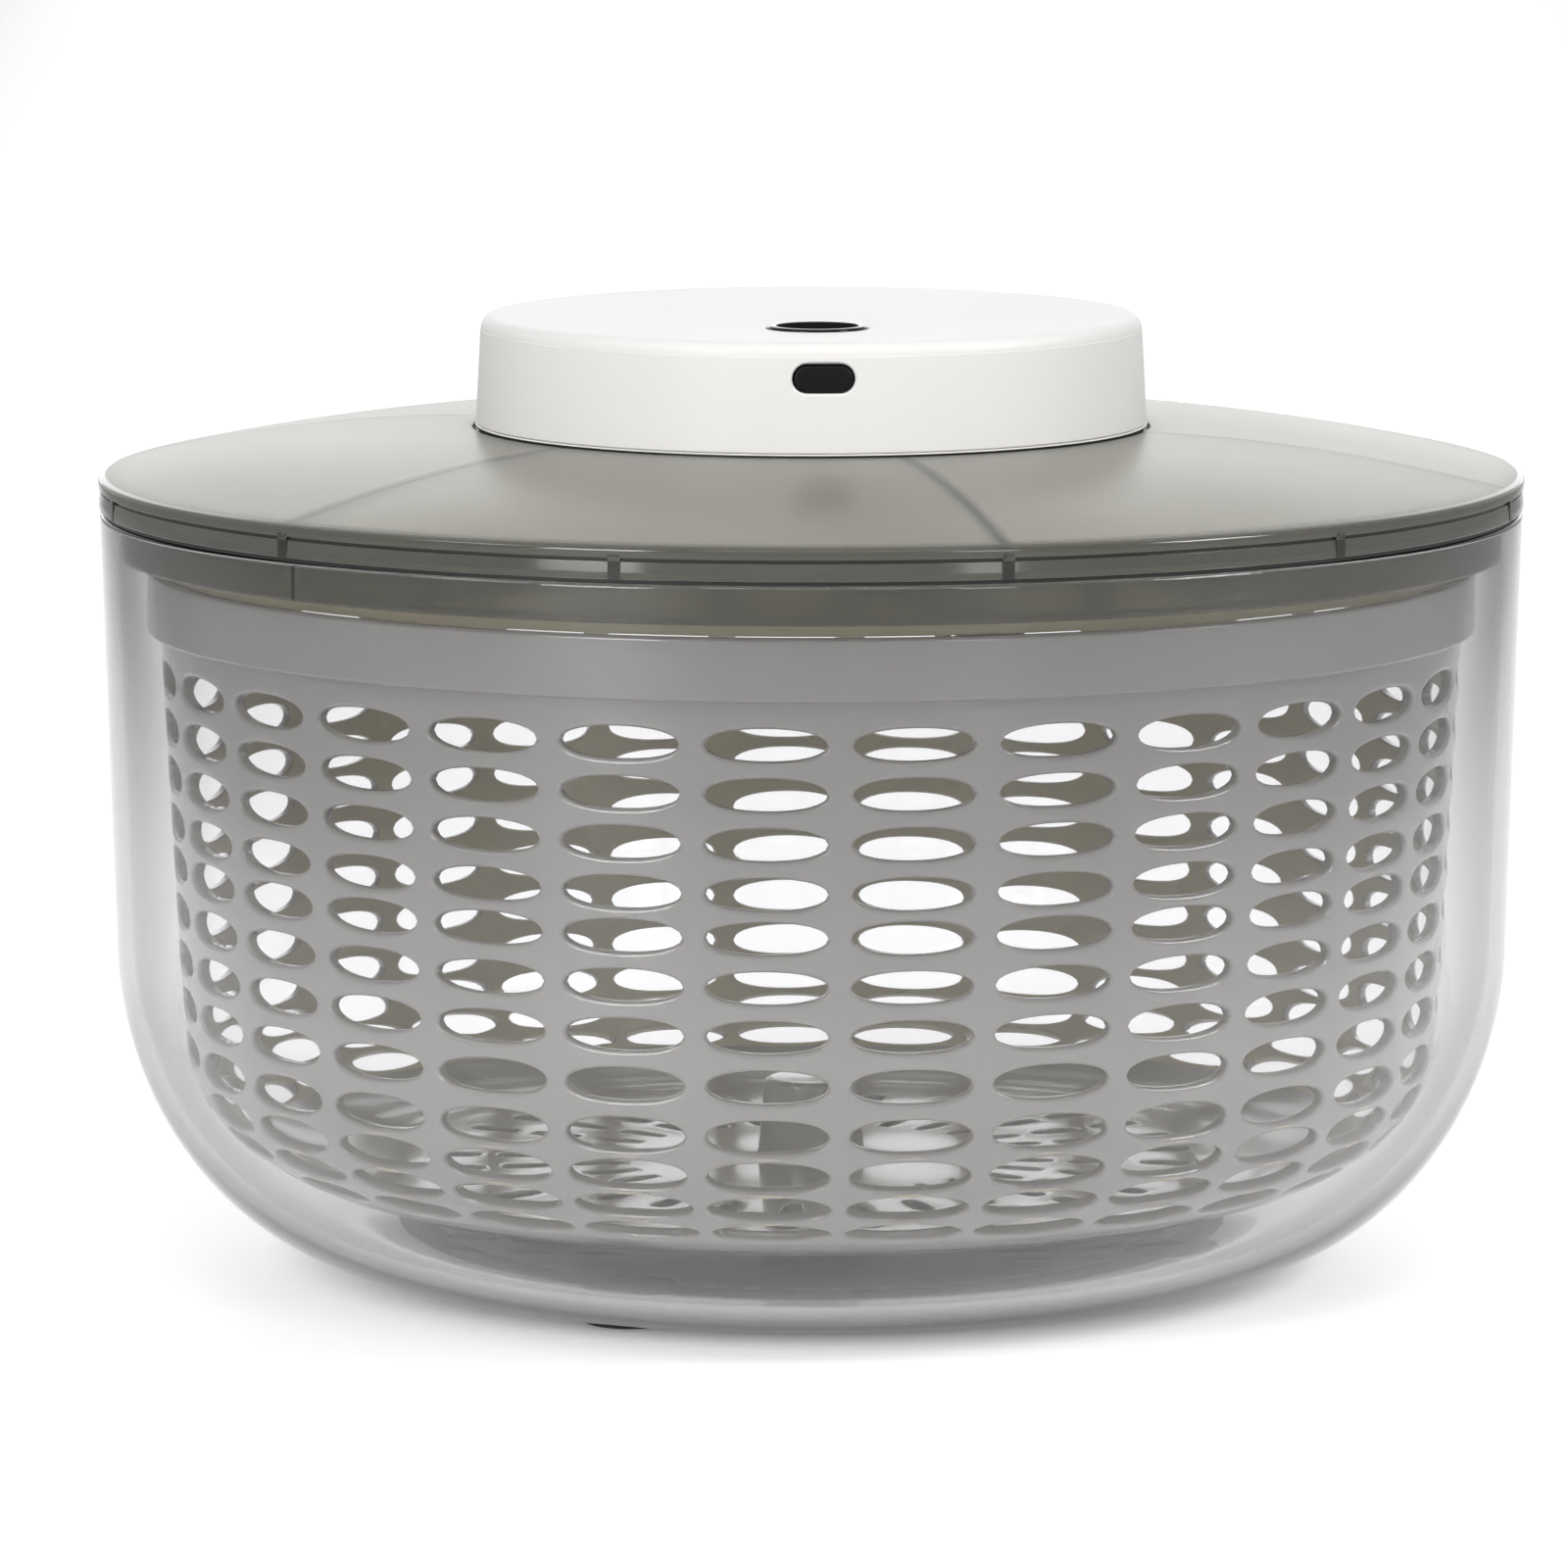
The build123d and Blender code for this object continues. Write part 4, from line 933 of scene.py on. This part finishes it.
def base_paint(centre, normal):
    """Painted shade: dark in the recess under the edge, white elsewhere."""
    radius = math.hypot(centre[0], centre[1])
    return 1 if UNIT_R - 0.65 < radius < UNIT_R - 0.02 and centre[2] < RECESS_Z + 0.02 else 0


# The recess under the unit's edge takes switch_dark as painted shade.
piece(unit_base, "motor_unit", [white, switch_dark], ["unit_base"], base_paint)

button_profile = rounded(
    [
        (0, BUTTON_BASE_Z),
        (2.5, BUTTON_BASE_Z),
        (2.5, BUTTON_BASE_Z + 0.15),
        (BUTTON_R + 0.75, BUTTON_BASE_Z + 0.15),
        (BUTTON_R + 0.75, BUTTON_FLANGE_Z, 0.2),
        (BUTTON_R, BUTTON_FLANGE_Z, 0.2),
        (BUTTON_R, BUTTON_TOP_Z, 0.5),
        (BUTTON_DISH_R + 0.4, BUTTON_TOP_Z, 0.3),
        (BUTTON_DISH_R, BUTTON_TOP_Z - 0.36, 0.3),
        (4.0, BUTTON_TOP_Z - 0.24, 3.0),
        (0, BUTTON_TOP_Z - 0.2),
    ],
    closed=False,
)
button = raw_object("power_button_gloss", lathe(button_profile, 128, False, centre=(button_x, button_y)))


def button_paint(centre, normal):
    """Gloss on the raised rim, dull on the dished face inside it."""
    return 0 if math.hypot(centre[0] - button_x, centre[1] - button_y) < BUTTON_DISH_R + 0.3 else 1


piece(button, "button", [button_face, button_edge], ["power_button"], button_paint)

plug_levels = [(7.7, 2.0, 54.1), (7.7, 2.0, 57.65), (PLUG_WIDTH - 0.2, PLUG_HEIGHT - 0.2, 57.65)]
plug_levels += [(PLUG_WIDTH, PLUG_HEIGHT, 57.8), (PLUG_WIDTH, PLUG_HEIGHT, PLUG_FACE)]
for a in np.radians((22.5, 45, 67.5, 90)):
    narrower = 2 * PLUG_EDGE * (1 - math.cos(a))
    plug_levels.append((PLUG_WIDTH - narrower, PLUG_HEIGHT - narrower, PLUG_FACE + 0.4 * math.sin(a)))
plug = raw_object("port_plug_rubber", port_body(plug_levels))
piece(plug, "plug", [plug_black], ["port_plug"])


# ------------------------------------------------------------------ floor, light and camera
def floor_material():
    """Pale floor with painted light: it glows brightest round the object and behind it, except for a painted
    shadow under the bowl, and painted shade leaves it soft grey at its sides and front.
    """
    made = bpy.data.materials.new("floor")
    made.use_nodes = True
    tree = made.node_tree
    shader = tree.nodes["Principled BSDF"]
    shader.inputs["Roughness"].default_value = 0.6
    shader.inputs["Emission Color"].default_value = (1.0, 1.0, 1.0, 1.0)
    place = object_place(tree)
    across, along, _ = split(tree, place)
    off_strip = tree.nodes.new("ShaderNodeCombineXYZ")
    tree.links.new(across, off_strip.inputs["X"])
    tree.links.new(combine(tree, "MINIMUM", along, 0.0), off_strip.inputs["Y"])
    # Painted light: a glowing strip round the object and behind it.
    painted_light_strip = fade(tree, distance(tree, off_strip.outputs["Vector"]), 0.26, 0.80, 1.0, 0.0)
    # Painted shadow: no glow under the bowl.
    outside_painted_shadow = fade(tree, distance(tree, place), 0.055, 0.105, 0.0, 1.0)
    painted_glow = combine(tree, "MULTIPLY", painted_light_strip, outside_painted_shadow)
    tree.links.new(fade(tree, painted_glow, 0.0, 1.0, 0.0, 0.42), shader.inputs["Emission Strength"])
    # Painted shade: grey floor colour at the sides and front.
    paper_and_painted_shade = tree.nodes.new("ShaderNodeMix")
    paper_and_painted_shade.data_type = "RGBA"
    paper_and_painted_shade.inputs["A"].default_value = (0.50, 0.50, 0.505, 1.0)
    paper_and_painted_shade.inputs["B"].default_value = (0.93, 0.93, 0.93, 1.0)
    tree.links.new(painted_light_strip, paper_and_painted_shade.inputs["Factor"])
    tree.links.new(paper_and_painted_shade.outputs["Result"], shader.inputs["Base Color"])
    return made


def studio_world():
    """White surroundings, dimmer overhead, at the sides and in front."""
    made = bpy.data.worlds.new("studio")
    made.use_nodes = True
    tree = made.node_tree
    across, along, up = split(tree, tree.nodes.new("ShaderNodeTexCoord").outputs["Generated"])
    at_sides = fade(tree, combine(tree, "ABSOLUTE", across), 0.12, 0.65, 1.0, 0.48)
    in_front = fade(tree, along, -0.9, 0.1, 0.62, 1.0)
    overhead = fade(tree, up, 0.2, 1.0, 1.0, 0.45)
    level = combine(tree, "MULTIPLY", combine(tree, "MULTIPLY", at_sides, in_front), overhead)
    background = tree.nodes["Background"]
    tree.links.new(level, background.inputs["Strength"])
    background.inputs["Color"].default_value = (1.0, 1.0, 1.0, 1.0)
    return made


FLOOR_REACH = 9000
corners = [(-1, -1), (1, -1), (1, 1), (-1, 1)]
floor = raw_object("floor", ([(FLOOR_REACH * x, FLOOR_REACH * y, 0) for x, y in corners], [(0, 1, 2, 3)]))
floor.data.materials.append(floor_material())
bpy.context.scene.world = studio_world()


def softbox(name, place, aim, width, height, power):
    """Large area light that faces aim."""
    data = bpy.data.lights.new(name, "AREA")
    data.shape = "RECTANGLE"
    data.size = width
    data.size_y = height
    data.energy = power
    lamp = bpy.data.objects.new(name, data)
    lamp.location = place
    lamp.rotation_euler = (Vector(aim) - Vector(place)).to_track_quat("-Z", "Y").to_euler()
    bpy.context.scene.collection.objects.link(lamp)


softbox("backdrop", (0, 5.2, 1.3), (0, 0, 0.3), 3.4, 2.6, 20.0)
softbox("key", (-1.3, -1.9, 0.95), (0, 0, 0.1), 0.7, 1.3, 24.0)
softbox("fill", (1.1, -2.1, 0.9), (0, 0, 0.1), 0.4, 1.3, 6.0)
softbox("top_left", (-1.4, -0.7, 1.5), (0, 0, 0.16), 0.6, 0.6, 5.0)
softbox("top_right", (1.7, -0.6, 1.2), (0, 0, 0.16), 0.6, 0.6, 17.0)
softbox("top_front", (0.1, -1.3, 1.9), (0, 0, 0.1), 1.3, 0.2, 5.0)

camera_data = bpy.data.cameras.new("camera")
camera_data.lens = 227.4
camera_data.sensor_width = 36.0
camera_data.shift_x = -0.0174
camera_data.shift_y = 0.0019
camera_data.clip_end = 100.0
camera = bpy.data.objects.new("camera", camera_data)
camera.location = (0.0, -1.8, 0.33225)
camera.rotation_euler = (math.radians(90 - 7.75), 0.0, 0.0)
bpy.context.scene.collection.objects.link(camera)
bpy.context.scene.camera = camera
bpy.context.scene.view_settings.view_transform = "Standard"
